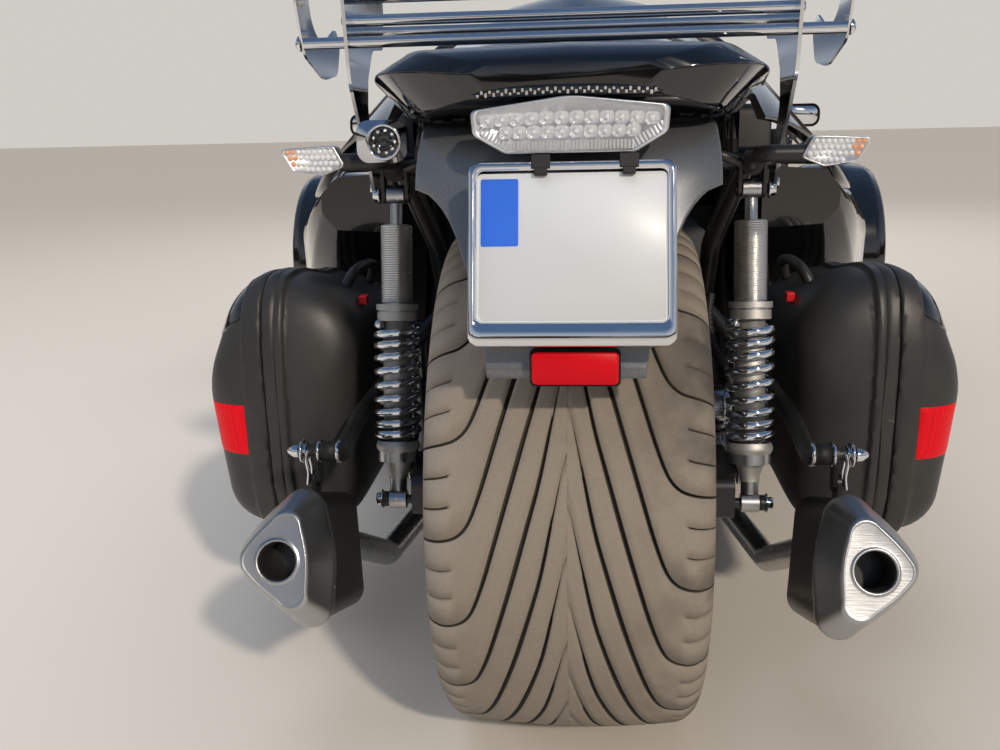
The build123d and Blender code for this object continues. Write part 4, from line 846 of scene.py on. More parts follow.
def case_reflector(side, i, k):
    """Red lens wrapped round the lid's rear shoulder."""
    dx, dz = 452 + 55 * k - CASE_X, 344 + 72 * i - CASE_Z
    angle = math.atan2(dz, dx)
    share = min(0.975, math.hypot(dx, dz) / case_reach(angle))
    r = case_reach(angle) * share
    return spot(side * (CASE_X + r * math.cos(angle)), CASE_ENDS[0] + dome_depth(share) - 0.4
                - 1.4 * rim_share(i, k, 12), CASE_Z + r * math.sin(angle))


def case_trim(side, name):
    """Inset, reflector, red tab, handle, mounts and the knuckles of the hinge."""
    case_patch("case_insert", "case_gloss", side, 72, 26, case_insert)
    case_patch("case_reflector", "reflector_red", side, 24, 24, case_reflector)
    bm = bmesh.new()
    slab(bm, spot(side * 301 - 6, 108, 536), spot(side * 301 + 6, 124, 549))
    bevel(link(f"case_tab_{name}", bm, "tab_red"), 2, 3)
    bm = bmesh.new()
    sweep(bm, smooth_path([spot(side * x, y, z) for x, y, z in CASE_GRIP], 6), 7.5, 14)
    link(f"case_handle_{name}", bm, "matte_black")
    pin = side * HINGE_X

    def knuckle(bm, y0, y1, leaf):
        plug(bm, spot(pin, y0, HINGE_Z), (0, 1, 0), HINGE_R, 0, y1 - y0, 24)
        slab(bm, spot(min(pin, leaf), y0, HINGE_Z), spot(max(pin, leaf), y1, LEAF_TOP))

    bm = bmesh.new()
    for span in SHELL_KNUCKLES:
        knuckle(bm, *span, pin - side * LEAF)
    for y, z in CASE_MOUNTS:
        revolve(bm, spot(side * 280, y, z), (side, 0, 0), [(0, 0.1), (0, 13), (24, 13)], 24)
    link(f"case_hinge_{name}", bm, "matte_black")
    bm = bmesh.new()
    knuckle(bm, *LID_KNUCKLE, pin + side * LEAF)
    link(f"lid_hinge_{name}", bm, "matte_black", body=f"lid_{name}")


# number plate and what surrounds it
PLATE_AT = (Matrix.Translation(spot(6, -326, 668)) @ Matrix.Rotation(math.pi / 2 - PLATE_TILT, 4, "X")
            @ Matrix.Diagonal((0.957, 0.957, 1, 1)))
# share of the way from the surround's outer rim to its window, and depth
SURROUND_ROWS = ((0, -8.5), (0, 2.2), (0.05, 4.6), (0.16, 6.2), (0.5, 7.8), (0.84, 6.2), (0.95, 4.6),
                 (1, 2.2), (1, -1))
# width, height and depth of the plate's pressed rim
RIM_ROWS = ((0.996, 0.995, 1.1), (0.985, 0.981, 1.9), (0.972, 0.965, 1.1))


def on_plate(u, v, depth):
    """Point on the leaning plate: right, up and out towards the viewer."""
    return PLATE_AT @ mm(u, v, depth)


def plate_frame():
    """Chromed surround: slim at the top and sides, a broad bowed lip below."""
    outer = panel(-103, 103, -92, 92, 11, 6)
    window = panel(-94.5, 94.5, -67.5, 83, 7, 6)
    bm = bmesh.new()
    grid = skin_rings(bm, [[on_plate(*(p + (q - p) * share), depth) for p, q in zip(outer, window)]
                           for share, depth in SURROUND_ROWS], caps=False)
    bm.faces.new(grid[0])
    surround = link("plate_surround", bm, "chrome")
    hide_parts("plate_holder")


def plate():
    """Blank plate with a pressed rim and a plain blue field; two clips hold its upper edge."""
    outline = panel(-95, 95, -69, 81, 6)
    bm = bmesh.new()
    prism(bm, outline, on_plate, 1.2, -0.2, 0.3)
    skin_rings(bm, [[on_plate(p.x * wide, (p.y - 6) * tall + 6, depth) for p in outline]
                    for wide, tall, depth in RIM_ROWS], caps=False)
    blank = link("plate_sheet", bm, "plate_white")
    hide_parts("number_plate")
    bm = bmesh.new()
    prism(bm, panel(-90.5, -53, 8, 75.5, 2), on_plate, 1.5, 0.8)
    link("plate_field", bm, "plate_blue")
    for side, name in SIDES:
        bm = bmesh.new()
        slab(bm, mm(-9.5, 1, 3.5), mm(9.5, 15, 8.5))
        slab(bm, mm(-6.5, -5, 1.5), mm(6.5, 4, 8))
        place = PLATE_AT @ Matrix.Translation(mm(13 + side * 43.5, 83, 0))
        bmesh.ops.transform(bm, matrix=place, verts=bm.verts)
        bevel(link(f"plate_clip_{name}", bm, "black_rubber"), 0.8)


def reflector():
    """Red lens in a thin black rim under the plate."""
    def place(u, v, depth):
        return spot(u + 9, -337.5 - depth, 559 + v)

    outline = panel(-44, 44, -18, 18, 5)
    bm = bmesh.new()
    prism(bm, outline, place, 0, -9)
    rim = link("reflector_rim", bm, "black_rubber")
    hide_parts("rear_reflector")
    bm = bmesh.new()
    prism(bm, [Vector((p.x * 0.9486, p.y * 0.8928)) for p in outline], place, 2.2, -1, 1.2)
    link("reflector_lens", bm, "reflector_red")


# tail lamp, indicators, strip lamp, camera
LAMP_OUTLINE = ((-96, 778), (-64, 760), (64, 760), (96, 778), (98, 803), (0, 813.5), (-98, 801))
# both rows of cups: height, count, half width, sag; the row of ribs under them
LAMP_ROWS = ((793, 12, 80, 0.00035), (780, 10, 62, 0))
RIB_LINE = [Vector(p) for p in ((-94, 781.5), (-63, 763.5), (63, 763.5), (94, 781.5))]
RIB_PITCH, RIB_LONG, RIB_R = 3.6, 8.5, 1.4
# outline of a cup, its scale and depth from rim to floor, and the diode's profile
CUP = ((-1, -0.6), (-1, 0.6), (-0.6, 1), (0.6, 1), (1, 0.6), (1, -0.6), (0.6, -1), (-0.6, -1))
CUP_ROWS = ((1, -2), (0.92, -2.4), (0.35, -6.2), (0.02, -6.4))
STUD = ((0, 2), (3, 2), (4.2, 1.4), (4.6, 0.1))


def lamp_place(u, v, depth):
    """Face of the tail lamp: it bows back a little towards its ends."""
    return spot(u * 0.975 + 4, -302 - depth + 0.0009 * u * u, v)


def tail_lamp():
    """Silver bowl, two rows of cups with a diode in each, a row of ribs, and the clear cover."""
    outline = rounded(LAMP_OUTLINE, [10, 14, 14, 10, 6, 110, 6], 8)
    middle = Vector((0, 786))
    bm = bmesh.new()
    stack(bm, outline, middle, lamp_place, (
        (0.93, -40), (1, -38), (1, -6), (0.985, -1), (0.955, 0.8), (0.93, -2.5), (0.91, -6)), caps=True)
    bowl = link("tail_lamp_bowl", bm, "lamp_silver")
    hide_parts("tail_lamp")
    bm, studs = bmesh.new(), bmesh.new()
    for v, count, reach, sag in LAMP_ROWS:
        pitch = 2 * reach / (count - 1)
        for i in range(count):
            u = -reach + pitch * i
            drop = -sag * u * u
            skin_rings(bm, [[lamp_place(u + a * pitch * 0.49 * share, v + drop + b * 6 * share, depth)
                             for a, b in CUP] for share, depth in CUP_ROWS], caps=False)
            revolve(studs, lamp_place(u, v + drop, CUP_ROWS[-1][1]), (0, -1, 0), STUD, 12)
    for p, q in zip(RIB_LINE, RIB_LINE[1:]):
        count = int((q - p).length / RIB_PITCH)
        up = Vector((-(q - p).y, (q - p).x)).normalized() * RIB_LONG
        for k in range(count):
            foot = p + (q - p) * ((k + 0.5) / count)
            sweep(bm, [lamp_place(*foot, -3.2), lamp_place(*(foot + up), -3.2)], RIB_R, 6)
    link("tail_lamp_cells", bm, "lamp_silver", smooth=False)
    link("tail_lamp_studs", studs, "led_clear")
    bm = bmesh.new()
    stack(bm, outline, middle, lamp_place, ((0.958, -2), (0.955, 3.2), (0.90, 5), (0.5, 5.8), (0.02, 6)))
    link("tail_lamp_cover", bm, "lens_thin")


IND_OUTLINE = [Vector(p) for p in ((250, 744.5), (275.5, 734.5), (311, 740), (325.5, 764), (262, 767.5))]
IND_ROWS, IND_FIRST, IND_PITCH = (741.5, 748, 754.5, 761), 256.5, 6.2       # heights; first x and step
IND_MARGIN, AMBER_FROM = 3.5, 306


def indicator(side, name):
    """Lozenge lamp: silver bowl, four rows of small cells, amber at the tip, under a clear cover."""
    def place(u, v, depth):
        return spot(side * u, -152 - depth, v)

    outline = rounded(IND_OUTLINE, [4, 6, 6, 4, 6])
    middle = centroid(outline)
    bm = bmesh.new()
    stack(bm, outline, middle, place, ((0.86, -28), (1, -22), (1, -3), (0.95, 0), (0.92, -3)), caps=True)
    bowl = link(f"indicator_shell_{name}", bm, "lamp_silver")
    bm = bmesh.new()
    for row, v in enumerate(IND_ROWS):
        for i in range(11):
            u = IND_FIRST + IND_PITCH * (i + 0.5 * (row % 2))
            if all((q - p).cross(Vector((u, v)) - p) > IND_MARGIN * (q - p).length
                   for p, q in zip(IND_OUTLINE, IND_OUTLINE[1:] + IND_OUTLINE[:1])):
                revolve(bm, place(u, v, -2.8), (0, -1, 0), [(0, 3.1), (1, 2.9), (2, 1.2), (2.2, 0.1)], 8,
                        1 if u > AMBER_FROM else 0)
    link(f"indicator_cells_{name}", bm, "led_clear", "led_amber")
    bm = bmesh.new()
    stack(bm, outline, middle, place, ((0.95, -1), (0.94, 2.2), (0.80, 3.4), (0.02, 4)))
    link(f"indicator_cover_{name}", bm, "lens_thin")
    return bowl


COWL = (  # y, half width, bottom, crease, top
    (-252, 104, 818, 836, 846), (-246, 136, 810, 839, 853), (-228, 172, 802, 841, 861),
    (-196, 197, 796, 841, 867), (-120, 220, 790, 838, 871), (0, 238, 784, 832, 874),
    (120, 256, 778, 828, 879))


def cowl_row(y, w, low, crease, high):
    """Section of the cowl, creased at its widest."""
    half = [(0.80 * w, low), (w, crease), (0.80 * w, high - 0.16 * (high - crease))]
    points = half + [(0, high)] + [(-x, z) for x, z in reversed(half)]
    radii = [r * (high - low) / 100 for r in (22, 5, 50, 300, 50, 5, 22)]
    return [spot(p.x, y, p.y) for p in rounded(points, radii, 8)]


def tail_cowl():
    """Gloss bull-nose with one soft crease, smooth from its lamp face to the deck."""
    rings = [cowl_row(*row) for row in smooth_path([Vector(row) for row in COWL], 5)]
    middle = sum(rings[0], Vector()) / len(rings[0])
    face = [[middle + (p - middle) * grow - mm(0, out, 0) for p in rings[0]]
            for grow, out in ((0.90, 1.2), (0.97, 0.8))]
    bm = bmesh.new()
    grid = skin_rings(bm, face + rings, caps=False)
    bm.faces.new(grid[0])
    cowl = link("tail_cowl_skin", bm, "black_gloss")
    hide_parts("tail_cowl")


STRIP_HALF, STRIP_TALL, STRIP_Z = 94, 5.2, 818.5
EMITTERS, EMITTER_REACH = 44, 87


def strip_lamp():
    """Leaf-shaped smoked lens with a row of small bright emitters behind it."""
    def place(u, v, depth):
        return spot(u, -253.2 - depth, v + STRIP_Z - 0.00035 * u * u)

    outline = []
    for k in range(49):
        u = -STRIP_HALF + 2 * STRIP_HALF * k / 48
        outline.append(Vector((u, STRIP_TALL * (1 - (u / STRIP_HALF) ** 4) + 0.6)))
    outline += [Vector((p.x, -p.y * 0.9)) for p in reversed(outline)]
    bm = bmesh.new()
    grid = stack(bm, outline, Vector((0, 0)), place, ((1, -3), (1, 1.2), (0.985, 2.2), (0.9, 2.6)))
    bm.faces.new(grid[-1])
    lens = link("strip_lens", bm, "smoked_lens")
    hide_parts("strip_lamp")
    bm = bmesh.new()
    for k in range(EMITTERS):
        u = -EMITTER_REACH + 2 * EMITTER_REACH * k / (EMITTERS - 1)
        v = 1.6 if k % 2 else -1.2
        tall = 1.1 + 0.9 * ((k * 7) % 5) / 4
        slab(bm, place(u - 1.2, v - tall, 3.0), place(u + 1.2, v + tall, 2.4))
    link("strip_emitters", bm, "steel_dull", smooth=False, slot="smoked_lens")


# rear fender: y and z down the middle of the sheet; height of its lower edge over x
GUARD_LINE = ((-150, 787), (-196, 781), (-230, 764), (-252, 742), (-266, 715), (-284, 675), (-304, 620),
              (-324, 545))
GUARD_LOW = ((0, 545), (78, 545), (84, 590), (94, 632), (103, 658), (110, 678), (118, 694), (128, 708),
             (140, 718), (156, 723), (158, 723))
# x and shift forward of each column of the sheet
GUARD_COLUMNS = [(x, 30 * (x / 156) ** 4) for x in (
    0, 20, 40, 60, 72, 78, 84, 90, 96, 103, 110, 118, 126, 134, 141, 147, 151, 154, 156)]
GUARD_COLUMNS += [(157, 40), (158, 60), (158, 90), (158, 130), (158, 170)]


def rear_fender():
    """Sheet bent round the tyre, arches cut beside the plate, and its brackets."""
    line = smooth_path([Vector((0, y, z)) for y, z in GUARD_LINE], 10)
    run = [0.0]
    for p, q in zip(line, line[1:]):
        run.append(run[-1] + (q - p).length)

    def along(s):
        for k in range(len(line) - 1):
            if run[k + 1] >= s:
                return line[k].lerp(line[k + 1], (s - run[k]) / (run[k + 1] - run[k]))
        return line[-1]

    def reach(z):
        for k in range(len(line) - 1):
            if line[k + 1].z <= z:
                return run[k] + (run[k + 1] - run[k]) * (line[k].z - z) / max(1e-6, line[k].z - line[k + 1].z)
        return run[-1]

    rings = []
    for x, shift in [(-x, s) for x, s in reversed(GUARD_COLUMNS[1:])] + GUARD_COLUMNS:
        low = reach(table(GUARD_LOW, abs(x)) + 0.16 * max(0, shift - 40))
        column = [along(low * k / 30) for k in range(31)]
        rings.append([spot(x, min(p.y + shift, 40), p.z) for p in column])
    bm = bmesh.new()
    skin_rings(bm, rings, closed=False)
    fender = link("rear_fender_sheet", bm, "fender_grey")
    mod = fender.modifiers.new("sheet", "SOLIDIFY")
    mod.thickness, mod.offset = 0.003, 0
    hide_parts("rear_fender")
    bm = bmesh.new()
    slab(bm, spot(-50, -264, 764), spot(54, -226, 784))
    slab(bm, spot(-30, -329, 541), spot(46, -314, 576))
    for x in (-52, 64):
        for v, depth in ((-38, -36), (58, -60)):
            sweep(bm, [on_plate(x, v, -8), on_plate(x, v, depth)], 7, 16)
    for side, _ in SIDES:
        for y in (-60, 24):
            bolt(bm, spot(side * 159, y, 752), (side, 0, 0), 12, 6)
            sweep(bm, [spot(side * 158, y, 752), spot(side * 200, y, 735)], 6, 12)
    link("fender_brackets", bm, "frame_black", slot="fender_grey")


def rear_camera():
    """Round lens in a chromed housing, small diodes round it."""
    centre, back = spot(-200, -174, 771), (0, -1, 0)
    for piece, mat, steps, profile in (
            ("bezel", "chrome", 48, [(-6, 20), (0, 20), (2, 19), (2, 16.8), (0, 16), (-2, 15.6)]),
            ("face", "smoked_lens", 40,
             [(-2, 15.7), (-2, 8), (1, 7.8), (1, 6.2), (-1, 5.8), (0.5, 3), (1, 0.1)])):
        bm = bmesh.new()
        revolve(bm, centre, back, profile, steps)
        link(f"camera_{piece}", bm, mat)
    bm = bmesh.new()
    for a in turns(9):
        diode = centre + mm(11.8 * math.cos(a), 1.5, 11.8 * math.sin(a))
        revolve(bm, diode, back, [(0, 2.1), (1.2, 1.8), (1.8, 0.1)], 12)
    link("camera_leds", bm, "lamp_silver", slot="chrome")
    bm = bmesh.new()
    prism(bm, panel(-228, -178, 751, 791.5, 12, 6), lambda u, v, d: spot(u, d, v), -171, -143, -3)
    pod = link("camera_housing", bm, "chrome")
    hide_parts("camera_pod")


def rack_fittings(side, name):
    """Bolts of the rack's tubes and feet, and the round end of its long tube."""
    out = (side, 0, 0)
    bm = bmesh.new()
    for y, z in ((-82, 904), (82, 946), (84, 904), (-84, 984)):
        bolt(bm, spot(side * 254, y, z), out, 11, 6)
    for z in (730, 706):
        bolt(bm, spot(side * 254, 24, z), out, 13, 7)
    revolve(bm, spot(side * 306.5, -92, 880), out, [(0, 8.5), (3, 8.5), (5.5, 5), (6, 0.1)], 20)
    link(f"rack_bolts_{name}", bm, "chrome")


# brake and chain side of the rear wheel
def rear_caliper():
    """Two-piston caliper with machined bores and a banjo bolt."""
    right = (1, 0, 0)
    body = rounded([(66, 352), (164, 352), (170, 384), (150, 420), (84, 424), (62, 396)], 10)
    bm = bmesh.new()
    for near, far in ((151.5, 144), (186, 170.5)):
        prism(bm, body, lambda y, z, x: spot(x, y, z), near, far, 2)
    slab(bm, spot(150, 92, 412), spot(172, 140, 424))
    bevel(link("caliper_body", bm, "cast_alloy"), 1.5)
    bm = bmesh.new()
    for y in (92, 138):
        revolve(bm, spot(186, y, 388), right,
                [(-2, 16), (3, 16), (4, 14.5), (4, 9), (2.5, 8), (2.5, 0.1)], 32)
    bolt(bm, spot(188, 115, 410), right, 10, 6)
    link("caliper_bores", bm, "steel_bright")


def hub_stack():
    """Turned outer half of the caliper beside the tyre, and the adjuster under it."""
    right, inner = (1, 0, 0), 158
    bm = bmesh.new()
    for y, z, reach, r in ((50, 402, 212, 31), (46, 346, 211, 24), (88, 374, 206, 18)):
        end = reach - inner
        revolve(bm, spot(inner, y, z), right, [
            (0, 0.1), (0, r), (end - 8, r), (end - 6, r - 3), (end - 2, r - 3), (end, r - 8), (end, 0.1)], 36)
        bolt(bm, spot(reach, y, z), right, 13, 6)
    for k in range(4):
        a = 0.6 + 1.57 * k
        bolt(bm, spot(204, 50 + 24 * math.cos(a), 402 + 24 * math.sin(a)), right, 7, 8, False)
    slab(bm, spot(204.3, 14, 318), spot(214, 84, 350))
    bolt(bm, spot(214, 48, 334), right, 20, 9)
    bevel(link("hub_stack", bm, "steel_bright", slot="cast_alloy"), 1.2)


def axle_nuts():
    """Nuts at both ends of the rear axle."""
    bm = bmesh.new()
    for side, _ in SIDES:
        bolt(bm, spot(side * 220, 0, REAR_R), (side, 0, 0), 30, 14)
    link("axle_nuts", bm, "steel_bright")


def brake_hose():
    """Ribbed sheath that drops from the frame to the caliper."""
    path = smooth_path([spot(*p) for p in ((192, 110, 548), (188, 96, 516), (192, 78, 486), (203, 62, 463),
                                           (216, 58, 436), (230, 56, 408), (240, 52, 388))], 16)
    bm = bmesh.new()
    sweep(bm, path, lambda t: 6.2 + math.sin(t * 2 * math.pi * 32), 12)
    link("brake_hose", bm, "black_rubber")


SPROCKETS = ((0, 332, 117.8), (560, 330, 47.8))      # y, z, pitch radius
CHAIN_X, PITCH = -164, 15.875
LINK_R, LINK_WAIST, LINK_T = 4.6, 3.4, 1.6           # end radius, half waist and thickness of a plate
LINK_HALF = (3.6, 5.8)                               # outer face of the narrow and the wide pair
PIN_R, PIN_HALF, ROLLER_R, ROLLER_HALF = 2, 6.2, 4.2, 2.4


def chain_points():
    """Middle of the chain's run round both sprockets, one point for each link."""
    (ya, za, ra), (yb, zb, rb) = SPROCKETS
    far = math.hypot(yb - ya, zb - za)
    lean = math.asin((ra - rb) / far)
    top, run = math.pi / 2 - lean, math.sqrt(far * far - (ra - rb) ** 2)

    def rim(y, z, r, a):
        return Vector((y + r * math.cos(a), z + r * math.sin(a)))

    rear_top, front_top = rim(ya, za, ra, top), rim(yb, zb, rb, top)
    front_low, rear_low = rim(yb, zb, rb, -top), rim(ya, za, ra, -top)
    spans = ((run, lambda s: rear_top.lerp(front_top, s / run)),
             (rb * (math.pi - 2 * lean), lambda s: rim(yb, zb, rb, top - s / rb)),
             (run, lambda s: front_low.lerp(rear_low, s / run)),
             (ra * (math.pi + 2 * lean), lambda s: rim(ya, za, ra, -top - s / ra)))
    total = sum(length for length, _ in spans)
    count = 2 * round(total / PITCH / 2)
    points = []
    for i in range(count):
        s = total * i / count
        for length, place in spans:
            if s < length:
                points.append(place(s))
                break
            s -= length
    return points


def drive_chain():
    """Roller chain: pairs of figure-of-eight plates, wide and narrow in turn, with rivet ends."""
    points = [spot(CHAIN_X, *p) for p in chain_points()]
    bm = bmesh.new()
    for i, (a, b) in enumerate(zip(points, points[1:] + points[:1])):
        along = (b - a).normalized()
        up = Vector((1, 0, 0)).cross(along)
        outline = []
        for t in turns(16):
            end = b if math.cos(t) > 0 else a
            waist = LINK_WAIST if abs(math.cos(t)) < 0.25 else LINK_R
            base = (a + b) / 2 if abs(math.cos(t)) < 0.05 else end
            outline.append(base + (along * LINK_R * math.cos(t) + up * waist * math.sin(t)) / 1000)
        half = LINK_HALF[i % 2]
        for s in (-1, 1):
            skin_rings(bm, [[p + mm(s * x, 0, 0) for p in outline] for x in (half, half - LINK_T)])
        plug(bm, a, (1, 0, 0), PIN_R, -PIN_HALF, PIN_HALF, 8)
        plug(bm, a, (1, 0, 0), ROLLER_R, -ROLLER_HALF, ROLLER_HALF, 10)
    chain = link("chain_links", bm, "chain_steel", smooth=False)
    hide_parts("drive_chain")


# front end: lamp glass, bolts on the wheels, mirror glass
LAMP_TILT, LAMP_SPLAY = math.radians(24), math.radians(14)
WHEEL_FACE, WHEEL_BOLT_R = 70, 50


def head_lamp(side, name):
    """Reflector bowl, projector and a domed glass in the nose's pocket."""
    lamp_at = (Matrix.Translation(spot(188, 2824, 366)) @ Matrix.Rotation(LAMP_TILT - math.pi / 2, 4, "X")
               @ Matrix.Rotation(LAMP_SPLAY, 4, "Y"))
    for piece, mat, *profiles in (
            ("bowl", "lamp_silver", ((-2, 45.5), (2, 45.5), (2.5, 43), (-6, 40), (-18, 30), (-24, 17)),
             ((-24, 20), (-6, 20), (-4, 18.5), (-4, 17))),
            ("projector", "lens_coat", ((-6, 17), (0, 15), (4, 10), (5.5, 0.2))),
            ("glass", "clear_lens", ((2.5, 45), (6, 44), (11, 34), (13.5, 20), (14.5, 0.2)))):
        bm = bmesh.new()
        for profile in profiles:
            skin_rings(bm, [[flip(lamp_at @ mm(r * math.cos(a), r * math.sin(a), z), side) for a in turns(48)]
                            for z, r in profile], caps=False)
        link(f"head_lamp_{piece}_{name}", bm, mat)


def wheel_bolts(side, name):
    """Centre nut and five wheel bolts."""
    face = spot(side * (TRACK_X + WHEEL_FACE), WHEELBASE, FRONT_R)
    bm = bmesh.new()
    for a in turns(5):
        place = face + mm(0, WHEEL_BOLT_R * math.cos(a + 0.3), WHEEL_BOLT_R * math.sin(a + 0.3))
        bolt(bm, place, (side, 0, 0), 17, 10, False)
    bolt(bm, face, (side, 0, 0), 34, 14)
    link(f"wheel_bolts_{name}", bm, "steel_bright", body=f"wheel_front_{name}", slot="rim_silver")


def mirror_glass(side, name):
    """Glass in the rear face of a mirror's head."""
    turn = Matrix.Translation(spot(side * 604, 1596, 772)) @ Matrix.Rotation(math.radians(side * 10), 4, "Z")
    bm = bmesh.new()
    prism(bm, panel(-45, 45, -24, 24, 18), lambda u, v, d: turn @ mm(u, d - 17.5, v), -0.8, 2, 1)
    link(f"mirror_glass_{name}", bm, "chrome")


# cockpit: upholstery and dials
SEAT_X = 262                 # middle of each seat
SEAT_BASE = ((1440, 181), (1452, 264), (1062, 238), (985, 240), (975, 181))
SEAT_BACK = ((1050, 236), (1000, 560), (950, 800), (934, 806), (880, 800), (862, 640), (985, 184),
             (1040, 184))
HEAD_REST = ((952, 806), (930, 878), (876, 878), (882, 806))
BOLSTER = ((1436, 184), (1428, 300), (1130, 296), (1036, 470), (984, 744), (892, 756), (862, 560), (985, 184))
BOLSTER_R = [14, 46, 90, 120, 40, 34, 120, 20]
# title, side outline, its corner radii, both ends across the seat, puff, fill
CUSHIONS = (
    ("seat_base", SEAT_BASE, [14, 34, 60, 20, 14], -140, 140, 12, 0.85),
    ("seat_back", SEAT_BACK, [30, 200, 20, 14, 20, 100, 20, 20], -140, 140, 12, 0.8),
    ("head_rest", HEAD_REST, [18, 22, 22, 18], -110, 110, 14, 0.9),
    ("seat_bolster_inner", BOLSTER, BOLSTER_R, -180, -141, 14, 0.9),
    ("seat_bolster_outer", BOLSTER, BOLSTER_R, 141, 180, 14, 0.9))


def cushion(name, corners, radii, x0, x1, puff, fill):
    """Stuffed panel from a side outline (y, z) between two x, its edges pulled in."""
    outline = rounded(corners, radii, 6)
    middle = centroid(outline)
    rings = []
    for share in (0.0, 0.015, 0.05, 0.12, 0.25, 0.4, 0.5, 0.6, 0.75, 0.88, 0.95, 0.985, 1.0):
        pull = puff * (abs(share - 0.5) * 2) ** 8
        rings.append([spot(x0 + (x1 - x0) * share, *(p - (p - middle).normalized() * pull)) for p in outline])
    bm = bmesh.new()
    skin_rings(bm, rings)
    piece = link(name, bm, "seat_black")
    return piece


def seat(side, name):
    """Five cushions and the sewn channels; returns the cushions."""
    x = side * SEAT_X
    pieces = [cushion(f"{title}_{name}", corners, radii, x + x0, x + x1, puff, fill)
              for title, corners, radii, x0, x1, puff, fill in CUSHIONS]
    bm = bmesh.new()
    for dx in (-100, -50, 0, 50, 100):
        for seam in (((1440, 262), (1300, 257), (1150, 249), (1070, 246)),
                     ((1046, 300), (1024, 430), (1003, 560), (976, 690), (955, 785))):
            sweep(bm, [spot(x + dx, y, z) for y, z in seam], 1.6, 6)
    link(f"seat_seams_{name}", bm, "thread_grey")
    return pieces


def dials():
    """Two round gauges with white scales under the hood."""
    back = (0, -1, 0)
    for x, name in ((-306, "speed"), (-218, "revs")):
        centre = spot(x, 1694, 712)

        def on_face(r, a, out):
            return centre + mm(r * math.cos(a), -out, r * math.sin(a))

        bm = bmesh.new()
        revolve(bm, centre, back, [(0, 40), (10, 40), (12, 38), (10, 35.5)])
        link(f"dial_bezel_{name}", bm, "chrome")
        bm = bmesh.new()
        revolve(bm, centre, back, [(6, 35.6), (6, 0.1)])
        link(f"dial_face_{name}", bm, "smoked_lens")
        bm = bmesh.new()
        for i in range(25):
            a = math.radians(225 - 270 * i / 24)
            sweep(bm, [on_face(29 if i % 4 else 26, a, 6.6), on_face(32, a, 6.6)], 0.6 if i % 4 else 0.9, 6)
        link(f"dial_scale_{name}", bm, "gauge_white")
        bm = bmesh.new()
        sweep(bm, [on_face(0, 0, 7.5), on_face(26, math.radians(200), 7.5)], lambda t: 1.4 - 0.9 * t, 8)
        revolve(bm, on_face(0, 0, 6), back, [(0, 4), (3, 3.5), (3, 0.1)], 20)
        link(f"dial_needle_{name}", bm, "lens_red")


# camera, floor, background and lights
FOCAL_PX, IMAGE_W = 972.0, 1000.0


def camera():
    """Standing close behind the trike, a little to the right, looking down at it."""
    yaw, pitch, roll = (math.radians(a) for a in (5.33, 15.12, -1.40))
    data = bpy.data.cameras.new("camera")
    data.sensor_width = 36.0
    data.lens = 36.0 * FOCAL_PX / IMAGE_W
    data.clip_start = 0.05
    eye = bpy.data.objects.new("camera", data)
    bpy.context.scene.collection.objects.link(eye)
    eye.matrix_world = (Matrix.Translation(spot(21, -1246, 799)) @ Matrix.Rotation(yaw, 4, "Z")
                        @ Matrix.Rotation(math.pi / 2 - pitch, 4, "X") @ Matrix.Rotation(roll, 4, "Z"))
    bpy.context.scene.camera = eye


LIGHTS = (  # name, place, size, power, tint: cool sky, side fill, back light
    ("sky", (-1.2, -2.4, 5.0), 4.0, 90, "e6eeff"),
    ("fill", (-4.4, -2.6, 2.2), 2.6, 50, "eef3ff"),
    ("back", (0.5, 4.2, 3.8), 3.2, 90, "f4f7ff"),
)
SUN_FROM = (0.46, -0.80, 0.58)       # low and a little to the right behind the camera


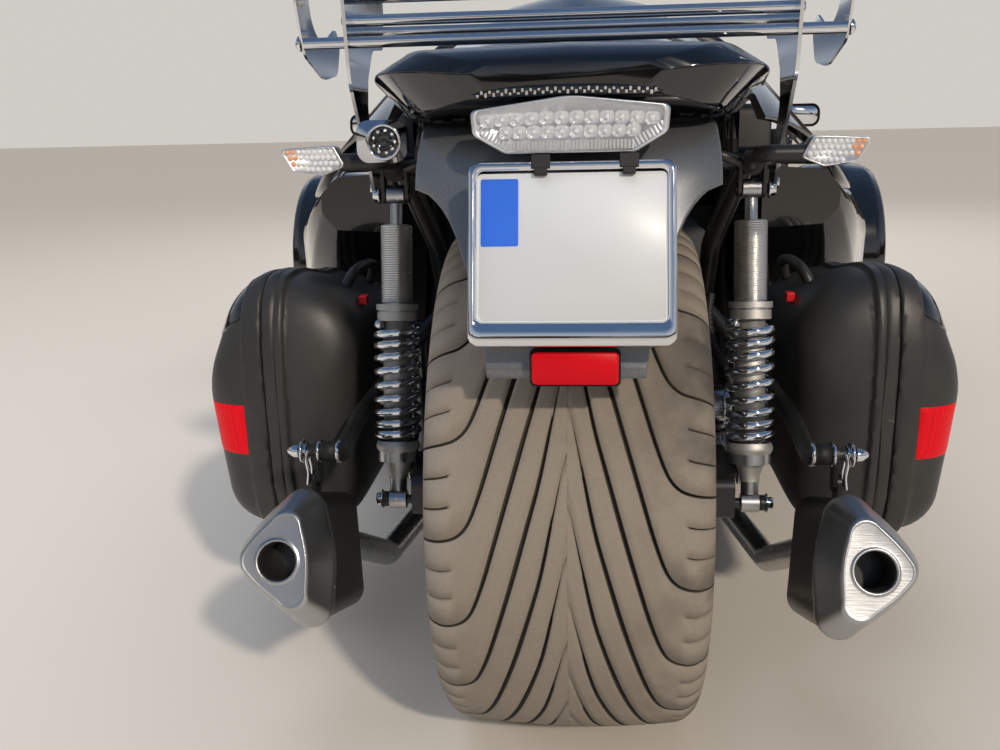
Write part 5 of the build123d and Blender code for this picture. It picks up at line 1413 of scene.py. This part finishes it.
def backdrop(world):
    """Mirrors see a blue dome over a warm band, the camera a plain wall; light comes in even and pale."""
    world.use_nodes = True
    tree = world.node_tree
    tree.nodes.clear()
    direction = add(tree, "ShaderNodeTexCoord").outputs["Generated"]
    height = add(tree, "ShaderNodeSeparateXYZ", direction).outputs[2]
    clumps = ramp(tree, noise(tree, 5.0, 3.0, 0.6, direction), 0.35, 0.65, 0.04, 0.22)
    skyline = ramp(tree, maths(tree, "SUBTRACT", height, clumps), -0.03, 0.03)
    upper = mix_rgb(tree, ramp(tree, height, 0.06, 0.55), colour("dfe4ea"), colour("566f92"))
    dome_view = mix_rgb(tree, skyline, colour("3a342c"), upper)
    seen, mirrored, even = (add(tree, "ShaderNodeBackground", *view).outputs[0] for view in (
        (colour("d9d6d0"), 0.9), (dome_view, 0.9), (colour("eceef2"), 0.45)))
    ray = add(tree, "ShaderNodeLightPath").outputs
    shine = maths(tree, "MAXIMUM", ray["Is Glossy Ray"], ray["Is Transmission Ray"])
    lit = add(tree, "ShaderNodeMixShader", shine, even, mirrored).outputs[0]
    chosen = add(tree, "ShaderNodeMixShader", ray["Is Camera Ray"], lit, seen).outputs[0]
    add(tree, "ShaderNodeOutputWorld", chosen)


def light(name, kind, power, tone, heading):
    """Lamp that shines along the -Z of its heading."""
    data = bpy.data.lights.new(name, kind)
    data.energy, data.color = power, colour(tone)[:3]
    lamp = bpy.data.objects.new(name, data)
    lamp.rotation_euler = heading.to_euler()
    bpy.context.scene.collection.objects.link(lamp)
    return lamp


def stage():
    """Pale floor, the surroundings and all lights."""
    bpy.ops.mesh.primitive_plane_add(size=60, location=(0, 0, 0))
    floor = bpy.context.object
    floor.name = "floor"
    painted("floor_pale", "cfc9c0", 0.85)
    floor.data.materials.append(MATERIALS["floor_pale"])
    bpy.context.scene.world = bpy.data.worlds.new("studio")
    backdrop(bpy.context.scene.world)
    sun = light("sun", "SUN", 2.3, "fff1de", Vector(SUN_FROM).to_track_quat("Z", "Y"))
    sun.data.angle = math.radians(3.0)
    target = Vector((0, -1.2, 0.4))
    for name, place, size, power, tone in LIGHTS:
        lamp = light(name, "AREA", power, tone, (target - Vector(place)).to_track_quat("-Z", "Y"))
        lamp.location = place
        lamp.data.shape, lamp.data.size = "DISK", size
        lamp.visible_glossy = False


for build in (rear_tyre, springs, plate_frame, plate, reflector, tail_lamp, tail_cowl, strip_lamp,
              rear_fender, rear_camera, rear_caliper, hub_stack, axle_nuts, brake_hose, drive_chain, dials):
    build()
caps, shells, lamps, seats = [], [], [], []
for side, name in SIDES:
    front_tyre(side, name)
    shock_threads(side, name)
    shock_bolts(side, name)
    caps.append(muffler_cap(side, name))
    for case, nodes in pannier(side, name):
        if nodes[0] == "pannier_shells":
            shells.append(case)
        else:
            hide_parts(*nodes)
    case_trim(side, name)
    lamps.append(indicator(side, name))
    rack_fittings(side, name)
    head_lamp(side, name)
    wheel_bolts(side, name)
    mirror_glass(side, name)
    seats += seat(side, name)
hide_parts("muffler_caps")
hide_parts("pannier_shells")
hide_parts("indicators")
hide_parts("seats")
camera()
stage()
bpy.context.scene.view_settings.view_transform = "Standard"
